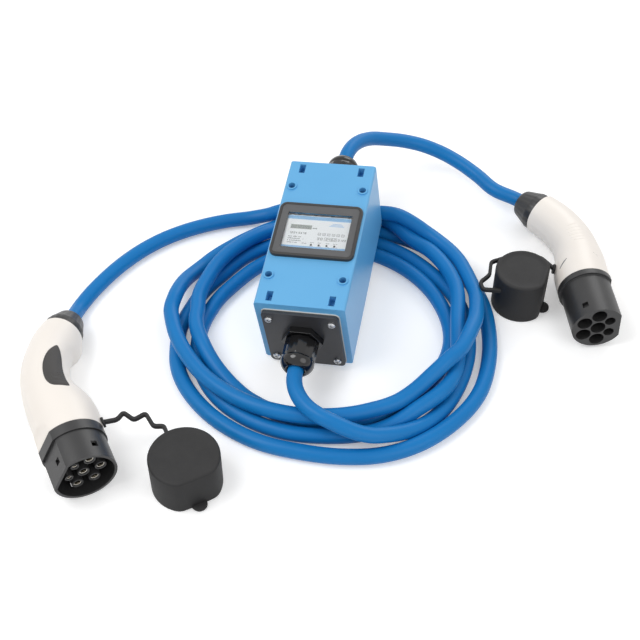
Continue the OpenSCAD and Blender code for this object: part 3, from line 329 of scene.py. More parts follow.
# the charging cable, in metres: turns are (angle in degrees, distance from the coil's middle, height),
# and a turn without a height lies on the floor
cable = {
    "diameter": 0.0164, "sides": 28, "step": 0.0045, "lift": 0.0002, "coilMiddle": (0.017, -0.047), "stepAngle": 6,
    "layLength": 0.09,
    "drop": [
        (0, -0.1269, 0.0465), (0, -0.1408, 0.0447), (0.0006, -0.15, 0.0439), (0.004, -0.161, 0.0428),
        (0.011, -0.172, 0.0418), (0.021, -0.1815, 0.041), (0.033, -0.188, 0.0402), (0.046, -0.192, 0.0386),
        (0.06, -0.1944, 0.035), (0.074, -0.1945, 0.0304), (0.089, -0.191, 0.0256), (0.099, -0.186, 0.0224),
    ],
    "turns": [
        (-55, 0.1615, 0.0185), (-45, 0.161, 0.0105), (-35, 0.16), (-20, 0.155), (-10, 0.1525), (9, 0.149),
        (28, 0.1463), (45, 0.142), (66, 0.141), (90, 0.1415), (118, 0.142), (142, 0.144), (156, 0.1435),
        (171, 0.1494), (181, 0.1535), (191, 0.16), (200, 0.163), (206, 0.166), (230, 0.168), (243, 0.167),
        (256, 0.166), (271, 0.165), (285, 0.1687), (298, 0.174), (306, 0.176), (324, 0.1775), (341, 0.1778),
        (354, 0.1743), (367, 0.172), (391, 0.172), (415, 0.168), (426, 0.1646), (440, 0.16), (450, 0.1587),
        (462, 0.1584), (470, 0.158, 0.01), (477, 0.1567, 0.0145), (484, 0.1555, 0.0185), (490, 0.153, 0.022),
        (504, 0.15, 0.0246), (513, 0.149, 0.0246), (529, 0.1453, 0.0246), (537, 0.1448, 0.0246),
        (545, 0.1415, 0.0246), (553, 0.1415, 0.0246), (563, 0.1375, 0.024), (570, 0.135, 0.0215), (578, 0.132, 0.017),
        (587, 0.129, 0.012), (600, 0.127), (630, 0.126), (670, 0.1265), (690, 0.127), (720, 0.131), (750, 0.127),
        (780, 0.1245), (810, 0.124), (860, 0.1226), (880, 0.1242), (890, 0.1282), (901, 0.1325), (908, 0.136),
        (920, 0.141), (935, 0.146), (950, 0.148), (965, 0.147), (983, 0.145), (999, 0.143), (1008, 0.1435),
        (1018, 0.1445), (1028, 0.1455, 0.012), (1036, 0.146, 0.018), (1044, 0.149, 0.0225), (1053, 0.151, 0.0246),
        (1062, 0.1476, 0.0246), (1071, 0.1423, 0.0246), (1080, 0.138, 0.0246), (1090, 0.137, 0.0246),
        (1100, 0.141, 0.0246), (1108, 0.146, 0.0246), (1116, 0.1492, 0.0246), (1124, 0.1517, 0.0246),
        (1135, 0.1545, 0.0235), (1141, 0.1555, 0.0215), (1146, 0.157, 0.023), (1152, 0.162, 0.0246),
        (1158, 0.169, 0.0228), (1164, 0.173, 0.017), (1170, 0.175, 0.01), (1177, 0.175), (1185, 0.1746),
        (1191, 0.174), (1197, 0.1714), (1203, 0.1692), (1210, 0.1675), (1220, 0.167), (1237, 0.17),
        (1250, 0.171, 0.018), (1257, 0.1695, 0.0246), (1266, 0.17, 0.0246), (1271, 0.167, 0.0246),
        (1278, 0.163, 0.0246), (1290, 0.156, 0.0246), (1305, 0.149, 0.0246), (1319, 0.1424, 0.0246),
        (1336, 0.136, 0.0246), (1344, 0.1336, 0.0246), (1357, 0.131, 0.0246), (1371, 0.13, 0.0246),
        (1380, 0.13, 0.0246), (1391, 0.1314, 0.0246), (1404, 0.132, 0.028), (1412, 0.134, 0.033), (1421, 0.14, 0.04),
        (1429, 0.1468, 0.0415), (1437, 0.1494, 0.0413), (1445, 0.1538, 0.038), (1455, 0.1583, 0.031),
        (1465, 0.164, 0.0246), (1473, 0.1652, 0.0246), (1480, 0.1686, 0.0246), (1487, 0.1705, 0.0246),
        (1495, 0.1708, 0.0255), (1501, 0.1695, 0.029), (1506, 0.167, 0.035), (1512, 0.164, 0.0405),
        (1518, 0.1627, 0.0386), (1521, 0.1623, 0.036), (1524, 0.1623, 0.032), (1530, 0.165, 0.025),
    ],
    "tail": [
        (-0.0033, 0.1184, 0.0226), (-0.0266, 0.1158, 0.0235), (-0.0455, 0.1128, 0.0245), (-0.0651, 0.1115, 0.0228),
        (-0.085, 0.11, 0.0136), (-0.104, 0.106, 0.0092), (-0.127, 0.098, 0.0083), (-0.152, 0.0855, 0.0083),
        (-0.1755, 0.07, 0.0083), (-0.197, 0.051, 0.0083), (-0.2155, 0.0285, 0.0083), (-0.231, 0.003, 0.0083),
        (-0.2434, -0.0246, 0.0083), (-0.252, -0.05, 0.0084), (-0.2566, -0.072, 0.0092),
    ],
    "lead": [
        (0, 0.1269, 0.0799), (0, 0.1408, 0.0817), (0.0006, 0.152, 0.0834), (0.0034, 0.165, 0.0834),
        (0.01, 0.182, 0.0796), (0.021, 0.199, 0.072), (0.038, 0.214, 0.0616), (0.058, 0.2254, 0.0524),
        (0.08, 0.231, 0.0446), (0.103, 0.2296, 0.038), (0.127, 0.2206, 0.0328), (0.149, 0.2064, 0.0294),
        (0.17, 0.1886, 0.0272),
    ],
    "frontExit": (0.0, -0.1408, 0.0447), "rearExit": (0.0, 0.1408, 0.0817),
    "inConnector": (0.037, 0.027, 0.012, -0.008), "inPlug": (0.033, 0.025, 0.012, -0.008),
}
connectorTail = {"back": -144.4, "up": -35.98, "slope": 40.0}
plugTail = {"back": -122.95, "up": -22.46, "slope": 37.0}


def coilTurns():
    rest = cable["diameter"] / 2
    table = np.array([turn if len(turn) == 3 else turn + (rest,) for turn in cable["turns"]])
    first, last = table[0, 0], table[-1, 0]
    angles = np.linspace(first, last, int(round((last - first) / cable["stepAngle"])) + 1)
    middle = cable["coilMiddle"]
    return [(middle[0] + radius * math.cos(math.radians(angle)), middle[1] + radius * math.sin(math.radians(angle)),
             max(height, rest)) for angle, (radius, height) in zip(angles, sampled(table[:, 1:], table[:, 0], angles))]


# a point on the middle of the cable in a handle, behind its end; all in mm
def tailPoint(tail, distance):
    slope = math.radians(tail["slope"])
    return tail["back"] - distance * math.cos(slope), tail["up"] - distance * math.sin(slope)


def inHandle(tail, distance, matrix):
    back, up = tailPoint(tail, distance * 1000)
    return tuple(matrix @ Vector((back / 1000, 0, up / 1000)))


def tubePiece(name, track, radius, sides):
    ahead = np.gradient(track, axis=0)
    ahead /= np.linalg.norm(ahead, axis=1)[:, None]
    side = np.cross(ahead[0], (0, 0, 1))
    points = []
    for p, t in zip(track, ahead):
        side = side - t * (side @ t)
        side /= np.linalg.norm(side)
        up = np.cross(side, t)
        for k in range(sides):
            a = 2 * math.pi * k / sides
            points.append(p + radius * (math.cos(a) * side + math.sin(a) * up))
    n = len(track)
    faces = gridFaces(n, sides)
    faces.append(tuple(range(sides))[::-1])
    faces.append(tuple((n - 1) * sides + k for k in range(sides)))
    piece = newPiece(name, (points, faces), "cableJacket", smooth=60)
    layer = piece.data.uv_layers.new(name="along")
    along = distances(track) / cable["layLength"]
    for face in piece.data.polygons[:(n - 1) * sides]:
        k = face.index % sides
        for loop, vertex in zip(face.loop_indices, face.vertices):
            row, col = divmod(vertex, sides)
            layer.data[loop].uv = (along[row], (k + (col != k)) / sides)
    return piece


def makeCable(name, points, replaced):
    radius = cable["diameter"] / 2
    track = smoothTrack(points, cable["step"])
    track[:, 2] = np.maximum(track[:, 2], radius + cable["lift"])
    piece = tubePiece(name, track, radius, cable["sides"])
    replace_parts(piece, *replaced)
    length = float(distances(track)[-1])
    print(name, "length", round(length, 3))
    return piece, track, length


mainCable, mainTrack, mainLength = makeCable(
    "mainCable", cable["drop"] + coilTurns() + cable["tail"]
    + [inHandle(connectorTail, distance, connectorMatrix) for distance in cable["inConnector"]],
    ("cable_coil", "front_drop", "connector_tail"))
plugCable, plugTrack, plugLength = makeCable(
    "plugCable", cable["lead"] + [inHandle(plugTail, distance, plugMatrix) for distance in cable["inPlug"]],
    ("plug_lead",))


# finishes on the pieces that come from the CAD, with the width of their rounded edges in mm
nodeFinishes = [
    ("housingBlue", 1.1, "housing_base housing_cover"),
    ("screwSteel", 0.15, "cover_screws rail_screws front_plate_screws rear_plate_screws"),
    ("screwSteel", 0.12, "terminal_screws"),
    ("paneGlass", 0.1, "window_pane"),
    ("frameBlack", 0.35, "window_frame"),
    ("meterWhite", 0.4, "meter_body"),
    ("meterFace", 0, "meter_display"),
    ("lampDark", 0, "meter_lamps"),
    ("railSteel", 0.15, "din_rail"),
    ("coreBrown", 0, "supply_wires connector_wires plug_wires"),
    ("coreBlack", 0, "load_wires"),
    ("coreGreen", 0, "earth_and_pilot_wires"),
    ("blackPlate", 0.5, "front_plate rear_plate"),
    ("gasketGrey", 0.15, "front_gasket rear_gasket"),
    ("glandBlack", 0.5, "front_gland_nut rear_gland_nut"),
    ("glandBlack", 0.4, "front_gland_body rear_gland_body"),
    ("glandBlack", 0.3, "front_locknut rear_locknut"),
    ("sealRubber", 0, "front_gland_seal rear_gland_seal connector_seal plug_seal"),
    ("handleWhite", 0.4, "connector_shell_left connector_shell_right plug_shell_left plug_shell_right"),
    ("gripRubber", 0.4, "connector_grip_left connector_grip_right"),
    ("blackMoulding", 0.5, "connector_collar plug_collar"),
    ("blackMoulding", 0.45, "connector_shroud"),
    ("blackMoulding", 0.4, "plug_carrier"),
    ("blackMoulding", 0.35, "connector_towers plug_body"),
    ("blackMoulding", 0.3, "connector_insert"),
    ("blackMoulding", 0.2, "meter_latch"),
    ("contactSilver", 0.3, "plug_power_pins"),
    ("contactSilver", 0.2, "plug_signal_pins"),
    ("contactSilver", 0.15, "connector_power_contacts"),
    ("contactSilver", 0.12, "connector_signal_contacts"),
    ("capRubber", 0.6, "connector_cap plug_cap"),
    ("cableJacket", 0, "cable_coil front_drop connector_tail plug_lead"),
]
edges = {"weld": 0.00001, "flat": math.radians(0.4), "sharp": math.radians(32), "segments": 2, "weight": 80}


def roundEdges(piece, width):
    weld = piece.modifiers.new("weld", "WELD")
    weld.merge_threshold = edges["weld"]
    flats = piece.modifiers.new("flats", "DECIMATE")
    flats.decimate_type = "DISSOLVE"
    flats.angle_limit = edges["flat"]
    bevel = piece.modifiers.new("edges", "BEVEL")
    bevel.width = width / 1000
    bevel.segments = edges["segments"]
    bevel.limit_method = "ANGLE"
    bevel.angle_limit = edges["sharp"]
    bevel.use_clamp_overlap = True
    shadeSmooth(piece.data)
    even = piece.modifiers.new("shading", "WEIGHTED_NORMAL")
    even.mode = "FACE_AREA"
    even.weight = edges["weight"]


def finishNodes():
    count = 0
    for finish, width, names in nodeFinishes:
        for name in names.split():
            piece = bpy.data.objects[name]
            for slot in piece.material_slots:
                slot.material = materials[finish]
            if width:
                roundEdges(piece, width)
            count += 1
    print("nodes finished:", count)


finishNodes()


# handle stations: (back, up, slope, half height, half width) in mm, front first; a flat top is a height in mm by
# the station's number, and so is a belly, which draws the lower side in
handles = {
    "connector": {
        "stations": [(0, 0, 0, 33, 32.8), (-12, -1, 0, 33.6, 32.4), (-24, -2, 0, 34, 31.8), (-41, -0.3, -4, 32.5, 30),
                     (-57, 3.5, -4, 27.8, 27), (-68, 3.6, 3, 25.8, 25.5), (-81, 1.4, 12, 25, 24.5),
                     (-93, -2.6, 21, 24.5, 24), (-104, -7.6, 27, 24.2, 23.6), (-115, -14, 32, 24, 23.2),
                     (-126, -21.3, 36, 24, 22.8), (-136, -29, 39, 23.6, 22.4)],
        "flats": {0: 29, 1: 31}, "bellies": {9: 0.6, 10: 5.0, 11: 4.6, 12: 2.4, 13: 1.0},
        "tail": connectorTail, "shoulder": (23.0, 22.2), "matrix": connectorMatrix},
    "plug": {
        "stations": [(0, -0.3, 0, 29.6, 29.4), (-11, -0.4, 0, 29.4, 29.2), (-24, 0.5, -3, 29, 28.6),
                     (-38, 2.7, -3, 27.3, 27), (-49, 3.2, 0, 25.8, 25.8), (-59, 3.1, 4, 24.9, 25),
                     (-70, 1.9, 9, 24.6, 24.6), (-81, -0.8, 17, 24.4, 24.2), (-91, -4.2, 22, 24.4, 24),
                     (-102, -9, 27, 24.3, 23.8), (-112, -14.8, 32, 24, 23.6)],
        "flats": {}, "bellies": {},
        "tail": plugTail, "shoulder": (23.6, 23.2), "matrix": plugMatrix},
    "noFlat": 40, "shoulderAt": (-3.2, -0.2), "perStation": 7, "angleSteps": 44, "wall": 2.6, "neckRadius": 17.0,
    "neckLength": 11.0, "neckStep": (0.35, 0.4), "neckRound": 0.3, "frontRound": 0.7, "shoulderRound": 0.9,
    "roundLength": 0.5, "seamDepth": 0.28, "seamWidth": 1.6,
}


# smooth rows of handle stations, with the shoulder that the collar screws up to
def handleRows(handle):
    tail = handle["tail"]
    stations = handle["stations"] + [(*tailPoint(tail, distance), tail["slope"], *handle["shoulder"])
                                     for distance in handles["shoulderAt"]]
    table = np.zeros((len(stations), 7))
    table[:, :5] = stations
    table[:, 5] = handles["noFlat"]
    for column, values in ((5, handle["flats"]), (6, handle["bellies"])):
        for station, value in values.items():
            table[station, column] = value
    at, count = distances(table[:, :2]), handles["perStation"]
    share = np.arange((len(at) - 1) * count + 1) / count
    return sampled(table, at, np.interp(share, np.arange(len(at)), at))


def stationRow(rows, station):
    where = min(max(station * handles["perStation"], 0), len(rows) - 1.001)
    low = int(where)
    return rows[low] * (1 - where + low) + rows[low + 1] * (where - low)


def skinPoint(row, angle, side, out):
    back, up, slope, high, wide, flat, belly = row
    slope = math.radians(slope)
    y = side * (wide + out) * math.sin(angle)
    z = min((high + out) * math.cos(angle), flat + out) - belly * max(0, -math.cos(angle)) ** 2
    return ((back - z * math.sin(slope)) / 1000, y / 1000, (up + z * math.cos(slope)) / 1000)


def neckRow(tail, distance, radius):
    return np.array([*tailPoint(tail, distance), tail["slope"], radius, radius, handles["noFlat"], 0])


# rows of the outer skin, each with its inset: a rounded front, the stations, a rounded shoulder and the neck
def outerRows(rows, tail):
    front, neck = handles["frontRound"], handles["neckRadius"]
    outer = []
    for back, inset in ((0, front), (front, front * 0.3), (2 * front, 0)):
        row = rows[0].copy()
        row[0] -= back
        outer.append((row, inset))
    outer += [(row, 0) for row in rows[1:]]
    for share in (0.3, 0.7, 1.0):
        row = rows[-1].copy()
        row[:2] = tailPoint(tail, handles["shoulderAt"][1] + share * handles["roundLength"])
        outer.append((row, handles["shoulderRound"] * (1 - math.sqrt(1 - share**2))))
    near, far = handles["neckStep"]
    return outer + [(neckRow(tail, distance, radius), 0) for distance, radius in (
        (near, neck + handles["neckRound"]), (far, neck), (handles["neckLength"], neck))]


def handleHalf(name, which, side):
    handle = handles[which]
    rows, tail = handleRows(handle), handle["tail"]
    steps, neck = handles["angleSteps"], handles["neckRadius"]
    outer = outerRows(rows, tail)
    inner = [*rows, neckRow(tail, handles["neckLength"], neck)]
    angles = [math.pi * k / steps for k in range(steps + 1)]
    points = []
    for row, inset in outer:
        for angle in angles:
            edge = min(angle, math.pi - angle) * row[4]
            groove = handles["seamDepth"] * max(0, 1 - edge / handles["seamWidth"] * 2) if row[3] > neck + 1 else 0
            points.append(skinPoint(row, angle, side, -inset - groove))
    points += [skinPoint(row, angle, side, -handles["wall"]) for row in reversed(inner) for angle in angles]
    cols, loops = steps + 1, len(outer) + len(inner)
    faces = gridFaces(loops, cols, closed=False, flip=side < 0)
    faces += [quad[::side] for quad in closingFaces(loops, cols)[:steps]]
    for edge in (0, steps):
        ring = [i * cols + edge for i in range(loops)]
        outside, inside = ring[:len(outer)], ring[len(outer):][::-1]
        for i, (a, b) in enumerate(zip(outside, outside[1:])):
            d, c = inside[min(i, len(inside) - 2):][:2]
            faces.append((a, b, c, d) if (edge == 0) == (side > 0) else (b, a, d, c))
    return newPiece(name, (points, faces), "handleWhite", handle["matrix"], smooth=38)


for which in ("connector", "plug"):
    for side, word in ((1, "left"), (-1, "right")):
        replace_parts(handleHalf(which + "Shell" + word.capitalize(), which, side), which + "_shell_" + word)
print("handles made")


# soft grip on each side of the connector's handle: outline as (station, angle in degrees), sizes in mm
grip = {
    "outline": [(8.45, 94), (8.1, 86), (7.5, 77), (6.6, 69), (5.6, 64), (4.6, 62.5), (3.95, 65), (3.62, 71), (3.45, 82),
                (3.3, 97), (3.55, 102.5), (4.4, 109), (5.6, 113), (6.8, 113), (7.7, 108), (8.25, 101)],
    "rings": 22, "around": 120, "height": 0.85, "sunk": 0.4, "edgeRings": 3,
    "ribs": 5, "ribPitch": 0.26, "ribDepth": 0.45, "ribFrom": 3.75, "ribLean": 0.012, "leanFrom": 80,
}


def gripRim():
    corners = np.array(grip["outline"])
    rim = []
    for where in np.linspace(0, len(corners), grip["around"], endpoint=False):
        i, t = int(where), where - int(where)
        a, b, c, d = (corners[(i + k) % len(corners)] for k in (-1, 0, 1, 2))
        rim.append(0.5 * (2 * b + (c - a) * t + (2 * a - 5 * b + 4 * c - d) * t**2 + (3 * b - a - 3 * c + d) * t**3))
    return rim, corners.mean(axis=0)


def gripPad(name, side):
    rows = handleRows(handles["connector"])
    rim, middle = gripRim()
    points = []
    for ring in range(grip["rings"] + 1):
        inside = min(1, ring / grip["edgeRings"])
        for edge in rim:
            station, angle = middle + (edge - middle) * (1 - ring / grip["rings"])
            lift = grip["height"] * math.sqrt(1 - (1 - inside) ** 2)
            slant = station + (angle - grip["leanFrom"]) * grip["ribLean"]
            phase = (slant - grip["ribFrom"]) / grip["ribPitch"]
            if ring > grip["edgeRings"] and 0 < phase < grip["ribs"]:
                lift -= grip["ribDepth"] * max(0, math.cos(2 * math.pi * phase)) ** 3
            points.append(skinPoint(stationRow(rows, station), math.radians(angle), side,
                                    lift if ring else -grip["sunk"]))
    faces = gridFaces(grip["rings"] + 1, grip["around"], flip=side > 0)
    return newPiece(name, (points, faces), "gripRubber", connectorMatrix, smooth=50)


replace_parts(gripPad("gripLeft", 1), "connector_grip_left")
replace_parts(gripPad("gripRight", -1), "connector_grip_right")
print("grips made")


# dust caps that lie on the floor, with their zigzag straps and buttons; sizes in mm
caps = {
    "connector": {
        "middle": (-83.5, -262), "turn": -52, "across": 70.2, "flat": 30.1, "high": 44, "wall": 3.2,
        "strapZ": 35.5, "peg": (-6, 146, 33.8, 0), "matrix": connectorMatrix,
        "strap": [(-160, -228.5), (-157, -219), (-144, -226), (-135, -216), (-123, -230), (-113, -227.5),
                  (-106.7, -237.9)]},
    "plug": {
        "middle": (214.5, 39), "turn": -10, "across": 60.7, "flat": 26.1, "high": 51, "wall": 2.2,
        "strapZ": 32, "peg": (-27, -168, 28.4, -14), "matrix": plugMatrix,
        "strap": [(232, 77), (205, 78), (188, 66), (178.6, 60), (179, 40), (170, 27), (174, 17), (193, 19)]},
    "sides": 96, "topRound": 2.6, "topSteps": 6, "rimStep": 0.35, "cornerPower": 26, "inFrom": 0.75,
    "tabRadius": 7.8, "tabThick": 3.0, "tabRound": 0.7, "tabLow": 0.1,
    "strapWide": 3.8, "strapBend": 3.6, "strapHigh": 5.0, "strapRound": 1.1,
    "buttonWide": 11, "buttonThick": 2.4, "buttonLow": -0.2, "buttonRound": 0.8, "discSides": 48,
}


# limits a radius by a flat side, with a soft corner
def flatSided(radius, flat, angle):
    toFlat, power = math.cos(angle), caps["cornerPower"]
    if toFlat <= 0.02:
        return radius
    return ((1 / radius) ** power + (toFlat / flat) ** power) ** (-1 / power)


def capCup(cap):
    radius, flat, high, wall = cap["across"] / 2, cap["flat"], cap["high"], cap["wall"]
    e, step = caps["topRound"], caps["rimStep"]
    profile = [(radius - 0.5, 0.1), (radius - 0.15, 0.25), (radius, 0.6), (radius, 3), (radius, high * 0.5),
               (radius, high - e)]
    for k in range(1, caps["topSteps"] + 1):
        a = math.pi / 2 * k / caps["topSteps"]
        profile.append((radius - e + e * math.cos(a), high - e + e * math.sin(a)))
    inside, top = radius - wall, high - wall
    profile += [(radius - e - 1.5, high), (radius - e - 2.1, high - step), (radius - e - 8, high - step),
                (radius - e - 16, high - step), (4, high - step * 0.8), (0.01, high - step * 0.8),
                (0.01, top), (inside - 3, top), (inside - 0.9, top - 0.4), (inside, top - 1.6), (inside, 0.8),
                (inside + 0.3, 0.1)]

    # near the middle the flat side follows the radius in proportion
    def shape(r, z, angle):
        base = inside if z <= top and r <= inside + 0.31 else radius
        side, small = flat - (radius - base), base * caps["inFrom"]
        inset = base - r
        if inset > side - 2 or r < small:
            return r * flatSided(small, side - (base - small), angle) / small
        return flatSided(r, side - inset, angle)

    points, faces = lathe(profile, caps["sides"], shape)
    return points, faces + closingFaces(len(profile), caps["sides"])


def disc(radius, low, high, edge):
    soft = edge * 0.3
    return lathe([(0.001, low), (radius - edge, low), (radius - soft, low + soft), (radius, low + edge),
                  (radius, high - edge), (radius - soft, high - soft), (radius - edge, high), (0.001, high)],
                 caps["discSides"])


# a path whose corners are cut to short curves
def roundedLine(points, cut):
    line = np.array(points, float)
    out = [line[0]]
    for before, corner, after in zip(line, line[1:], line[2:]):
        toward, away = before - corner, after - corner
        start = corner + toward * min(0.45, cut / np.linalg.norm(toward))
        end = corner + away * min(0.45, cut / np.linalg.norm(away))
        for share in (0, 0.25, 0.5, 0.75, 1):
            out.append((1 - share) ** 2 * start + 2 * share * (1 - share) * corner + share ** 2 * end)
    out.append(line[-1])
    return np.array(out)


# points on a rectangle's four rounded corners, each a list
def cornerArcs(x, y, r, steps):
    return [[(cx + r * math.cos(a), cy + r * math.sin(a))
             for a in (math.radians(start + 90 * k / steps) for k in range(steps + 1))]
            for cx, cy, start in ((x - r, y - r, 0), (r - x, y - r, 90), (r - x, r - y, 180), (x - r, r - y, 270))]


# a strap with rounded edges through points on a level
def strapBand(points, low):
    half = caps["strapHigh"] / 2
    section = [(u, low + half + v)
               for arc in cornerArcs(caps["strapWide"] / 2, half, caps["strapRound"], 3) for u, v in arc]
    line = roundedLine(points, caps["strapBend"])
    ahead = np.diff(line, axis=0)
    ahead /= np.linalg.norm(ahead, axis=1)[:, None]
    left = np.stack([-ahead[:, 1], ahead[:, 0]], 1)
    middle = [(a + b) / (1 + a @ b) for a, b in zip(left, left[1:])]
    out = [((p[0] + shift[0] * u) / 1000, (p[1] + shift[1] * u) / 1000, z / 1000)
           for p, shift in zip(line, [left[0], *middle, left[-1]]) for u, z in section]
    n = len(section)
    faces = gridFaces(len(line), n, flip=True)
    faces.append(tuple(range(n)))
    faces.append(tuple((len(line) - 1) * n + k for k in range(n))[::-1])
    return out, faces


def makeCap(which):
    cap = caps[which]
    place = shifted(*cap["middle"], 0) @ turned(cap["turn"], "Z")
    tab = disc(caps["tabRadius"], caps["tabLow"], caps["tabLow"] + caps["tabThick"], caps["tabRound"])
    back, turn, out, lean = cap["peg"]
    pegPlace = cap["matrix"] @ turned(-turn, "X") @ shifted(back, 0, out) @ turned(lean, "Y")
    button = disc(caps["buttonWide"] / 2, caps["buttonLow"], caps["buttonThick"], caps["buttonRound"])
    start = pegPlace @ Vector((0, 0, caps["buttonThick"] / 2000))
    band = strapBand([(start.x * 1000, start.y * 1000)] + cap["strap"], cap["strapZ"])
    part = joined([moved(capCup(cap), place), moved(tab, place @ shifted(cap["flat"], 0, 0)),
                   moved(button, pegPlace), band])
    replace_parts(newPiece(which + "DustCap", part, "capRubber", smooth=40), which + "_cap")


makeCap("connector")
makeCap("plug")
print("caps made")


# dome nuts on the cable glands: twelve flats on the grip, a round mouth; sizes in mm
glandNut = {"grip": 17.75, "flats": 12, "gripTo": 29.5, "fade": 2, "flatOver": 14.9, "deepest": 0.972, "foot": 8.0,
            "reach": 41.0, "neck": 15.2, "neckTo": 21, "pocket": 13.0, "mouth": 9.2, "sides": 96,
            "crown": [(0, 14), (0.1, 13.2), (0.5, 12.4), (0.6, 11.6), (0.3, 10.6), (0.2, 9), (0.5, 7.4), (1.3, 5.4),
                      (2.5, 3.4), (4.1, 1.6), (5.6, 0.5), (6.6, 0)]}


def gripped(r, z, angle):
    if r <= glandNut["flatOver"]:
        return r
    step = 2 * math.pi / glandNut["flats"]
    share = min(1, max(0, (glandNut["gripTo"] - z) / glandNut["fade"]))
    flatRadius = r * math.cos(step / 2) / math.cos(angle % step - step / 2)
    return r + share * (max(flatRadius, r * glandNut["deepest"]) - r)


def makeGlandNut(side, word):
    g, ro, reach, foot = glandNut, glandNut["grip"], glandNut["reach"], glandNut["foot"]
    profile = [(g["neck"], foot), (ro - 0.7, foot), (ro - 0.2, foot + 0.25), (ro, foot + 0.8)]
    profile += [(ro, z) for z in (12, 16, 20, 24)]
    profile += [(ro - inset, reach - drop) for inset, drop in g["crown"]]
    profile += [(g["mouth"] + 0.7, reach - 0.2), (g["mouth"] + 0.15, reach - 0.8), (g["mouth"], reach - 4),
                (g["pocket"], reach - 12), (g["pocket"], g["neckTo"]), (g["neck"], g["neckTo"]), (g["neck"], foot)]
    place = boxMatrix @ shifted(0, side * boxPlace["plate"], 0) @ turned(-side * 90, "X")
    piece = newPiece(word + "GlandNut", lathe(profile, g["sides"], gripped), "glandBlack", place,
                     smooth=24)
    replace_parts(piece, word + "_gland_nut")


makeGlandNut(-1, "front")
makeGlandNut(1, "rear")
print("gland nuts made")


# screwed collars behind the handles, with soft flats round the wide part; sizes in mm
collarLook = {
    "flats": 20, "depth": 0.35, "sides": 120, "fluteOver": 12.8, "fluteFrom": 1.2, "fluteTo": 25.5, "rise": 1.5,
    "fall": 2,
    "profile": [(17.2, 0.1), (20.6, 0.1), (21.35, 0.45), (21.75, 1.3), (21.75, 5), (21.75, 8.4), (21.45, 9.4),
                (20.6, 11.4), (20.15, 12.6), (19.8, 13.6), (18.2, 18.4), (16.9, 22.3), (15.75, 25.7), (15.5, 26.4),
                (14.6, 27.8), (13.6, 28.7), (12.7, 29), (9.2, 29), (8.75, 28.5), (8.7, 25), (13.4, 13), (13.4, 11.4),
                (17.2, 11.4), (17.2, 0.1)]}


def fluted(r, z, angle):
    c = collarLook
    if r < c["fluteOver"]:
        return r
    wave = 0.5 - 0.5 * math.cos(angle * c["flats"])
    edge = min(1, max(0, (z - c["fluteFrom"]) / c["rise"]), max(0, (c["fluteTo"] - z) / c["fall"]))
    return r - edge * c["depth"] * wave ** 2


def makeCollar(which):
    tail, matrix = handles[which]["tail"], handles[which]["matrix"]
    place = matrix @ shifted(tail["back"], 0, tail["up"]) @ turned(270 - tail["slope"], "Y")
    part = lathe(collarLook["profile"], collarLook["sides"], fluted)
    piece = newPiece(which + "Collar", part, "blackMoulding", place, smooth=40)
    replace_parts(piece, which + "_collar")
    return piece.name


collarNames = {which: makeCollar(which) for which in ("connector", "plug")}
print("collars made")


# print on the meter's face and its number drums, in mm from the middle of the face: boxes are (x, y, x, y),
# digits (text, x, y, width, height, stroke), fine print (x, x, y, height, seed)
meterPrint = {
    "faceZ": 46.0, "sunk": 0.2, "lift": 0.03,
    "bands": [(-34.25, 16.4, 34.25, 21.0), (-34.25, -21.0, 34.25, -18.8), (11.5, 9.4, 27.5, 10.0),
              (13.0, 10.9, 26.0, 11.5), (14.5, 12.4, 24.5, 13.0)],
    "counter": [(-29.0, 3.6, -6.4, 9.0)],
    "drums": ("0012345", -28.0, 4.5, 1.9, 3.5, 0.35),
    "digits": [("1234", -29.0, -3.2, 1.5, 2.4, 0.4), ("5678", -19.0, -3.2, 1.5, 2.4, 0.4),
               ("30", 2.0, -9.6, 2.2, 3.2, 0.5), ("2462", 11.0, -9.4, 1.9, 2.8, 0.42),
               ("0122", 24.0, -9.4, 1.5, 2.6, 0.38)],
    "fine": [(-5.2, -0.5, 4.6, 1.4, 7), (-29.0, -16.0, -7.6, 1.25, 31), (-29.0, -13.0, -10.2, 1.25, 32),
             (-29.0, -15.0, -12.8, 1.25, 33), (-29.0, -18.5, -15.4, 1.25, 34), (-13.0, -8.5, -15.6, 1.2, 91)],
    "lines": [(9.4, -10.2, 9.7, -5.8), (22.4, -10.2, 22.7, -5.8), (9.4, -10.2, 22.7, -9.9), (9.4, -6.1, 22.7, -5.8)],
}


def printed(name, boxes, finish, lift=0.0):
    z0 = (meterPrint["faceZ"] - meterPrint["sunk"]) / 1000
    z1 = (meterPrint["faceZ"] + meterPrint["lift"] + lift) / 1000
    parts = []
    for x0, y0, x1, y1 in boxes:
        corners = [(x0, y0), (x1, y0), (x1, y1), (x0, y1)]
        points = [(x / 1000, y / 1000, z) for z in (z0, z1) for x, y in corners]
        parts.append((points, [(4, 5, 6, 7), (0, 1, 5, 4), (1, 2, 6, 5), (2, 3, 7, 6), (3, 0, 4, 7)]))
    newPiece(name, joined(parts), finish, boxMatrix, smooth=20)


# rows of small marks that read as fine print
def finePrint(x0, x1, y, high, seed):
    boxes, x, value = [], x0, seed
    while x < x1:
        value = (value * 1103515245 + 12345) % 2147483648
        wide = high * (0.35 + 0.35 * ((value >> 8) % 100) / 100)
        if (value >> 4) % 7:
            rise = high * (0.72 if (value >> 12) % 3 else 1.0)
            boxes.append((x, y, x + wide, y + rise))
        x += wide + high * 0.28
    return boxes


segmentsOf = {"0": "abcdef", "1": "bc", "2": "abged", "3": "abgcd", "4": "fgbc", "5": "afgcd", "6": "afgedc",
              "7": "abc", "8": "abcdefg", "9": "abcdfg"}


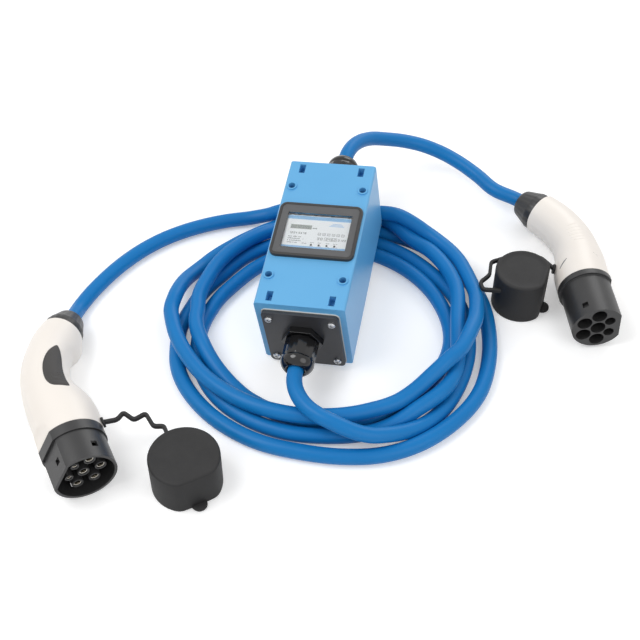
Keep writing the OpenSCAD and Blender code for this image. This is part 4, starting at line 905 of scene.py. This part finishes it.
def digitBoxes(text, x, y, w, h, t):
    bars = {"a": (0, h - t, w, h), "b": (w - t, h / 2, w, h), "c": (w - t, 0, w, h / 2), "d": (0, 0, w, t),
            "e": (0, 0, t, h / 2), "f": (0, h / 2, t, h), "g": (0, h / 2 - t / 2, w, h / 2 + t / 2)}
    boxes = []
    for letter in text:
        for x0, y0, x1, y1 in (bars[key] for key in segmentsOf[letter]):
            boxes.append((x + x0, y + y0, x + x1, y + y1))
        x += w * 1.5
    return boxes


# six small square symbols in a row, each with a short bar inside
def symbolBoxes():
    boxes, y, s, t = [], -3.4, 3.2, 0.35
    for k in range(6):
        x = 1.5 + 5.0 * k
        boxes += [(x, y, x + s, y + t), (x, y + s - t, x + s, y + s), (x, y, x + t, y + s),
                  (x + s - t, y, x + s, y + s),
                  (x + 0.9, y + 0.9 + 0.25 * (k % 3), x + s - 0.9, y + 1.3 + 0.3 * (k % 3))]
    return boxes


def makeMeterPrint():
    printed("meterBands", meterPrint["bands"], "printBlue")
    printed("meterCounter", meterPrint["counter"], "displayGrey", 0.05)
    printed("counterDigits", digitBoxes(*meterPrint["drums"]), "printGreyAndSlotShade", 0.09)
    marks = symbolBoxes() + meterPrint["lines"]
    for row in meterPrint["digits"]:
        marks += digitBoxes(*row)
    for row in meterPrint["fine"]:
        marks += finePrint(*row)
    for k in range(4):
        marks += finePrint(-4.4 + 8.2 * k, -1.0 + 8.2 * k, -13.9, 1.0, 51 + k)
        marks += finePrint(-4.6 + 8.2 * k, -0.6 + 8.2 * k, -18.4, 0.8, 71 + k)
    printed("meterMarks", marks, "printGreyAndSlotShade", 0.01)


makeMeterPrint()
print("meter print made")


# low ribs moulded on the sides of the plug's handle, and grey strips of painted shade for the slots of its catches:
# places as stations and degrees, heights in mm
plugRelief = {"ribs": 6, "from": 4.15, "to": 6.55, "low": 68, "high": 112, "shorter": 7, "ribWide": 0.12,
              "height": 0.6, "sunk": 0.05, "steps": 18, "across": 7,
              "slots": [((1.45, 148), (2.0, 126)), ((1.9, 53), (2.3, 65))], "slotWide": 0.045, "slotSteps": 8,
              "slotDepth": 0.3, "slotLift": 0.04, "slotSlant": 25}


def plugRib(rows, side, index):
    look = plugRelief
    middle = look["from"] + (look["to"] - look["from"]) * index / (look["ribs"] - 1)
    short = look["shorter"] if index in (0, look["ribs"] - 1) else 0
    points = []
    for j in range(look["steps"] + 1):
        share = j / look["steps"]
        angle = math.radians(look["low"] + short + (look["high"] - look["low"] - 2 * short) * share)
        fade = min(1, 5 * share, 5 * (1 - share)) ** 0.5
        for across in np.linspace(-1, 1, look["across"]):
            lift = look["height"] * fade * (math.cos(across * math.pi) + 1) / 2 - look["sunk"]
            points.append(skinPoint(stationRow(rows, middle + across * look["ribWide"]), angle, side, lift))
    return points, gridFaces(look["steps"] + 1, look["across"], closed=False, flip=side > 0)


# a grey strip along a catch slot, standing a little proud of the skin; its grey is painted shade for the dark slot
def plugSlot(rows, side, start, end):
    look, points = plugRelief, []
    for j in range(look["slotSteps"] + 1):
        share = j / look["slotSteps"]
        half = look["slotWide"] * math.sin(math.pi * (0.08 + 0.84 * share)) ** 0.5
        station, angle = start[0] + (end[0] - start[0]) * share, start[1] + (end[1] - start[1]) * share
        for across, out in ((-half, -look["slotDepth"]), (-half, look["slotLift"]), (half, look["slotLift"]),
                            (half, -look["slotDepth"])):
            points.append(skinPoint(stationRow(rows, station + across),
                                    math.radians(angle + across * look["slotSlant"]), side, out))
    return points, gridFaces(look["slotSteps"] + 1, 4, flip=side > 0)


plugRows = handleRows(handles["plug"])
for side, word in ((1, "Left"), (-1, "Right")):
    newPiece("plugRibs" + word, joined([plugRib(plugRows, side, k) for k in range(plugRelief["ribs"])]),
             "handleWhite", plugMatrix, smooth=60)
    # the slot strips are grey: painted shade for the dark insides of the catch slots
    newPiece("plugSlotShade" + word, joined([plugSlot(plugRows, side, *ends) for ends in plugRelief["slots"]]),
             "printGreyAndSlotShade", plugMatrix, smooth=30)
print("plug ribs made")


# window frame: a raised crest of (inset, drop) and four mitred bevels down to the pane, in mm in the box's frame
windowFrame = {
    "wide": 89.0, "long": 71.0, "corner": 8.0, "innerWide": 68.0, "innerLong": 46.5, "low": 47.52, "high": 51.5,
    "crest": [(0, 1.3), (0.25, 0.6), (0.75, 0.15), (1.4, 0), (2.7, 0), (3.1, 0.12), (3.35, 0.55)],
    "bevelInset": 3.6, "bevelDrop": 0.6, "bevelFoot": 49.35, "bevelSteps": (0.03, 0.5, 0.97),
    "corners": (1.2, 0.6, 0.4), "seat": 49.12, "seatWide": 4, "steps": 10,
}


def frameRing(wide, long, corner, z):
    n, points = windowFrame["steps"], []
    arcs = cornerArcs(wide / 2, long / 2, corner, n)
    for arc, after in zip(arcs, arcs[1:] + arcs[:1]):
        (x0, y0), (x1, y1) = arc[-1], after[0]
        points += arc + [(x0 + (x1 - x0) * k / n, y0 + (y1 - y0) * k / n) for k in range(1, n)]
    return [(x / 1000, y / 1000, z / 1000) for x, y in points]


def makeWindowFrame():
    f = windowFrame
    wide, long, high, low = f["wide"], f["long"], f["high"], f["low"]
    outer, soft, tight = f["corners"]
    made = [frameRing(wide, long, f["corner"], low)]
    made += [frameRing(wide - 2 * d, long - 2 * d, f["corner"] - d, high - drop) for d, drop in f["crest"]]
    crestRings = len(made)
    w0, l0, z0 = wide - 2 * f["bevelInset"], long - 2 * f["bevelInset"], high - f["bevelDrop"]
    w1, l1, z1 = f["innerWide"], f["innerLong"], f["bevelFoot"]
    made.append(frameRing(w0, l0, outer, z0))
    for share in f["bevelSteps"]:
        made.append(frameRing(w0 + (w1 - w0) * share, l0 + (l1 - l0) * share, soft, z0 + (z1 - z0) * share))
    for more, z in ((0, z1 - 0.1), (0, f["seat"]), (f["seatWide"], f["seat"]), (f["seatWide"], low)):
        made.append(frameRing(w1 + more, l1 + more, tight, z))
    count = len(made[0])
    part = [p for ring in made for p in ring], gridFaces(len(made), count) + closingFaces(len(made), count)
    piece = newPiece("windowFrame", part, "frameBlack", boxMatrix, smooth=9)
    # the bevel faces take the lighter bevel finish, a painted reflection that sets them off from the crest
    piece.data.materials.append(materials["frameBevelPaintedReflection"])
    bevels = range(crestRings * count, (crestRings + len(f["bevelSteps"])) * count)
    for face in piece.data.polygons:
        face.material_index = int(face.index in bevels)
    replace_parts(piece, "window_frame")


makeWindowFrame()
print("window frame made")


# socket contacts with the towers around them, and the wells that take such towers: places across and up, radii
# and heights in mm
contacts = {
    "power": {"places": [(0, 0), (17.3, 0), (-17.3, 0), (8.5, -14.8), (-8.5, -14.8)],
              "tower": 5.9, "hole": 3.95, "back": 4.4, "inner": 3.05, "outer": 4.3, "well": 7.9},
    "signal": {"places": [(8.2, 12.1), (-8.2, 12.1)],
               "tower": 4.3, "hole": 2.3, "back": 2.65, "inner": 1.6, "outer": 2.55, "well": 5.6},
    "from": 6.0, "reach": 38.4, "lip": 0.7, "lipDepth": 1.5, "wallFrom": 9, "ringFrom": 24, "sides": 48,
}


# one turned part at each place of a kind of contact, along the axis of its coupler
def atPlaces(kind, part):
    return [moved(part, shifted(0, across, up) @ turned(90, "Y")) for across, up in contacts[kind]["places"]]


def makeTowers():
    foot, top, lip, depth = (contacts[key] for key in ("from", "reach", "lip", "lipDepth"))
    parts = []
    for kind in ("power", "signal"):
        tower, hole, back = (contacts[kind][key] for key in ("tower", "hole", "back"))
        parts += atPlaces(kind, lathe([
            (back, foot), (tower, foot), (tower, top - contacts["wallFrom"]), (tower, top - lip),
            (tower - lip * 0.3, top - lip * 0.3), (tower - lip, top), (hole + 0.9, top), (hole + 0.25, top - 0.35),
            (hole, top - 0.8), (hole, top - depth), (back, top - depth), (back, foot)], contacts["sides"]))
    piece = newPiece("connectorTowers", joined(parts), "blackMoulding", connectorMatrix, smooth=40)
    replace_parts(piece, "connector_towers")


makeTowers()
print("towers made")


# bright rings of the socket contacts just inside the mouths of their towers
def makeContactRings():
    foot, front, parts = contacts["ringFrom"], contacts["reach"] - contacts["lipDepth"], []
    for kind in ("power", "signal"):
        inner, outer = contacts[kind]["inner"], contacts[kind]["outer"]
        parts += atPlaces(kind, lathe([
            (inner, foot), (outer, foot), (outer, front - 0.2), (outer - 0.2, front), (inner + 0.5, front),
            (inner + 0.15, front - 0.15), (inner, front - 0.6), (inner, foot)], contacts["sides"]))
    newPiece("contactRings", joined(parts), "contactSilver", connectorMatrix, smooth=40)


makeContactRings()
print("contact rings made")


# barrel of the plug with its seven wells, in mm
barrel = {"from": 24, "seam": 25, "to": 63, "rounding": 0.5, "sides": 64, "nearSeam": 0.2, "crease": math.radians(22)}


def closed(piece):
    shape = bmesh.new()
    shape.from_mesh(piece.data)
    bmesh.ops.remove_doubles(shape, verts=shape.verts, dist=edges["weld"])
    bmesh.ops.recalc_face_normals(shape, faces=shape.faces)
    shape.to_mesh(piece.data)
    shape.free()
    return piece


# rounds every crease but those on the seam between the barrel and its flange
def roundAwayFromSeam(piece, seam, width):
    shape = bmesh.new()
    shape.from_mesh(piece.data)
    bmesh.ops.dissolve_limit(shape, angle_limit=edges["flat"], verts=shape.verts, edges=shape.edges)
    weight = shape.edges.layers.float.new("bevel_weight_edge")
    back = plugMatrix.inverted()
    for edge in shape.edges:
        if edge.is_manifold and edge.calc_face_angle() > barrel["crease"]:
            onSeam = all(abs((back @ v.co).x * 1000 - seam) < barrel["nearSeam"] for v in edge.verts)
            edge[weight] = 0.0 if onSeam else 1.0
            edge.smooth = not onSeam
    shape.to_mesh(piece.data)
    shape.free()
    roundEdges(piece, width)
    piece.modifiers["edges"].limit_method = "WEIGHT"
    piece.modifiers["shading"].keep_sharp = True


def wellCutter():
    parts, sides = [], barrel["sides"]
    for kind in ("power", "signal"):
        radius = contacts[kind]["well"]
        points, faces = lathe([(radius, barrel["from"]), (radius, barrel["to"])], sides)
        faces += [tuple(range(sides))[::-1], tuple(range(sides, 2 * sides))]
        parts += atPlaces(kind, (points, faces))
    return closed(newPiece("wellCutter", joined(parts), matrix=plugMatrix))


def makeBarrel():
    cutter = wellCutter()
    for name, node in (("plugBarrel", "plug_body"), ("plugFlange", "plug_carrier")):
        piece = closed(linked(bpy.data.objects.new(name, bpy.data.objects[node].data.copy())))
        if name == "plugBarrel":
            cut = piece.modifiers.new("wells", "BOOLEAN")
            cut.object, cut.operation, cut.solver = cutter, "DIFFERENCE", "EXACT"
            graph = bpy.context.evaluated_depsgraph_get()
            piece.data = bpy.data.meshes.new_from_object(piece.evaluated_get(graph))
            piece.modifiers.clear()
        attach(piece, "root")
        roundAwayFromSeam(piece, barrel["seam"], barrel["rounding"])
        paint(piece, "blackMoulding")
        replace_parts(piece, node)
        print(name, len(piece.data.polygons), "faces")
    bpy.data.objects.remove(cutter)


makeBarrel()
print("plug barrel made")


# 1 for rays that the camera sends, also by way of metal or glass
def seenRays(tree):
    path = addNode(tree, "LightPath", {})
    return worked(tree, "MAXIMUM", worked(tree, "MAXIMUM", path["Is Camera Ray"], path["Is Glossy Ray"]),
                  path["Is Transmission Ray"])


# the floor glows a little, more so far from the middle, and only for the rays that are seen
floorLook = {"size": 6.0, "drop": 0.0003, "colour": (0.86, 0.86, 0.86, 1), "rough": 0.9, "lift": 0.30,
             "farLift": 0.62, "from": 0.75, "to": 2.4}


def makeStage():
    material, tree, shader = newMaterial("floorWhite")
    away = addNode(tree, "VectorMath", {0: addNode(tree, "NewGeometry", {})["Position"]}, operation="LENGTH")["Value"]
    fade = addNode(tree, "MapRange", {
        "Value": away, "From Min": floorLook["from"], "From Max": floorLook["to"], "To Min": floorLook["lift"],
        "To Max": floorLook["farLift"]})["Result"]
    feed(tree, shader, {
        "Base Color": floorLook["colour"], "Roughness": floorLook["rough"], "Specular IOR Level": 0,
        "Emission Color": (1, 1, 1, 1), "Emission Strength": worked(tree, "MULTIPLY", seenRays(tree), fade)})
    mesh = bpy.data.meshes.new("floor")
    s, z = floorLook["size"], -floorLook["drop"]
    mesh.from_pydata([(-s, -s, z), (s, -s, z), (s, s, z), (-s, s, z)], [], [(0, 1, 2, 3)])
    mesh.materials.append(material)
    linked(bpy.data.objects.new("floor", mesh))


sky = {"seen": 1.0, "lit": 0.57}


def makeWorld():
    world = bpy.data.worlds.new("surround")
    bpy.context.scene.world = world
    world.use_nodes = True
    tree = world.node_tree
    level = addNode(tree, "MapRange", {"Value": seenRays(tree), "To Min": sky["lit"], "To Max": sky["seen"]})
    feed(tree, tree.nodes["Background"], {"Color": (1, 1, 1, 1), "Strength": level["Result"]})


# lamps: metres and watts
lamps = {
    "keyLamp": {"place": (-0.9, -0.5, 1.7), "aim": (0.0, -0.03, 0.03), "size": 1.1, "power": 15.5},
    "fillLamp": {"place": (1.3, -1.1, 1.2), "aim": (0.05, -0.05, 0.03), "size": 1.4, "power": 8.5},
    "rimLamp": {"place": (0.4, 1.5, 1.1), "aim": (0.0, 0.0, 0.03), "size": 1.0, "power": 7},
}


def makeLamps():
    for name, lamp in lamps.items():
        light = bpy.data.lights.new(name, "AREA")
        light.shape, light.size, light.energy = "DISK", lamp["size"], lamp["power"]
        holder = linked(bpy.data.objects.new(name, light))
        holder.location = lamp["place"]
        holder.rotation_euler = (Vector(lamp["aim"]) - Vector(lamp["place"])).to_track_quat("-Z", "Y").to_euler()


makeStage()
makeWorld()
makeLamps()
bpy.context.scene.view_settings.view_transform = "Standard"
print("stage and lamps made")
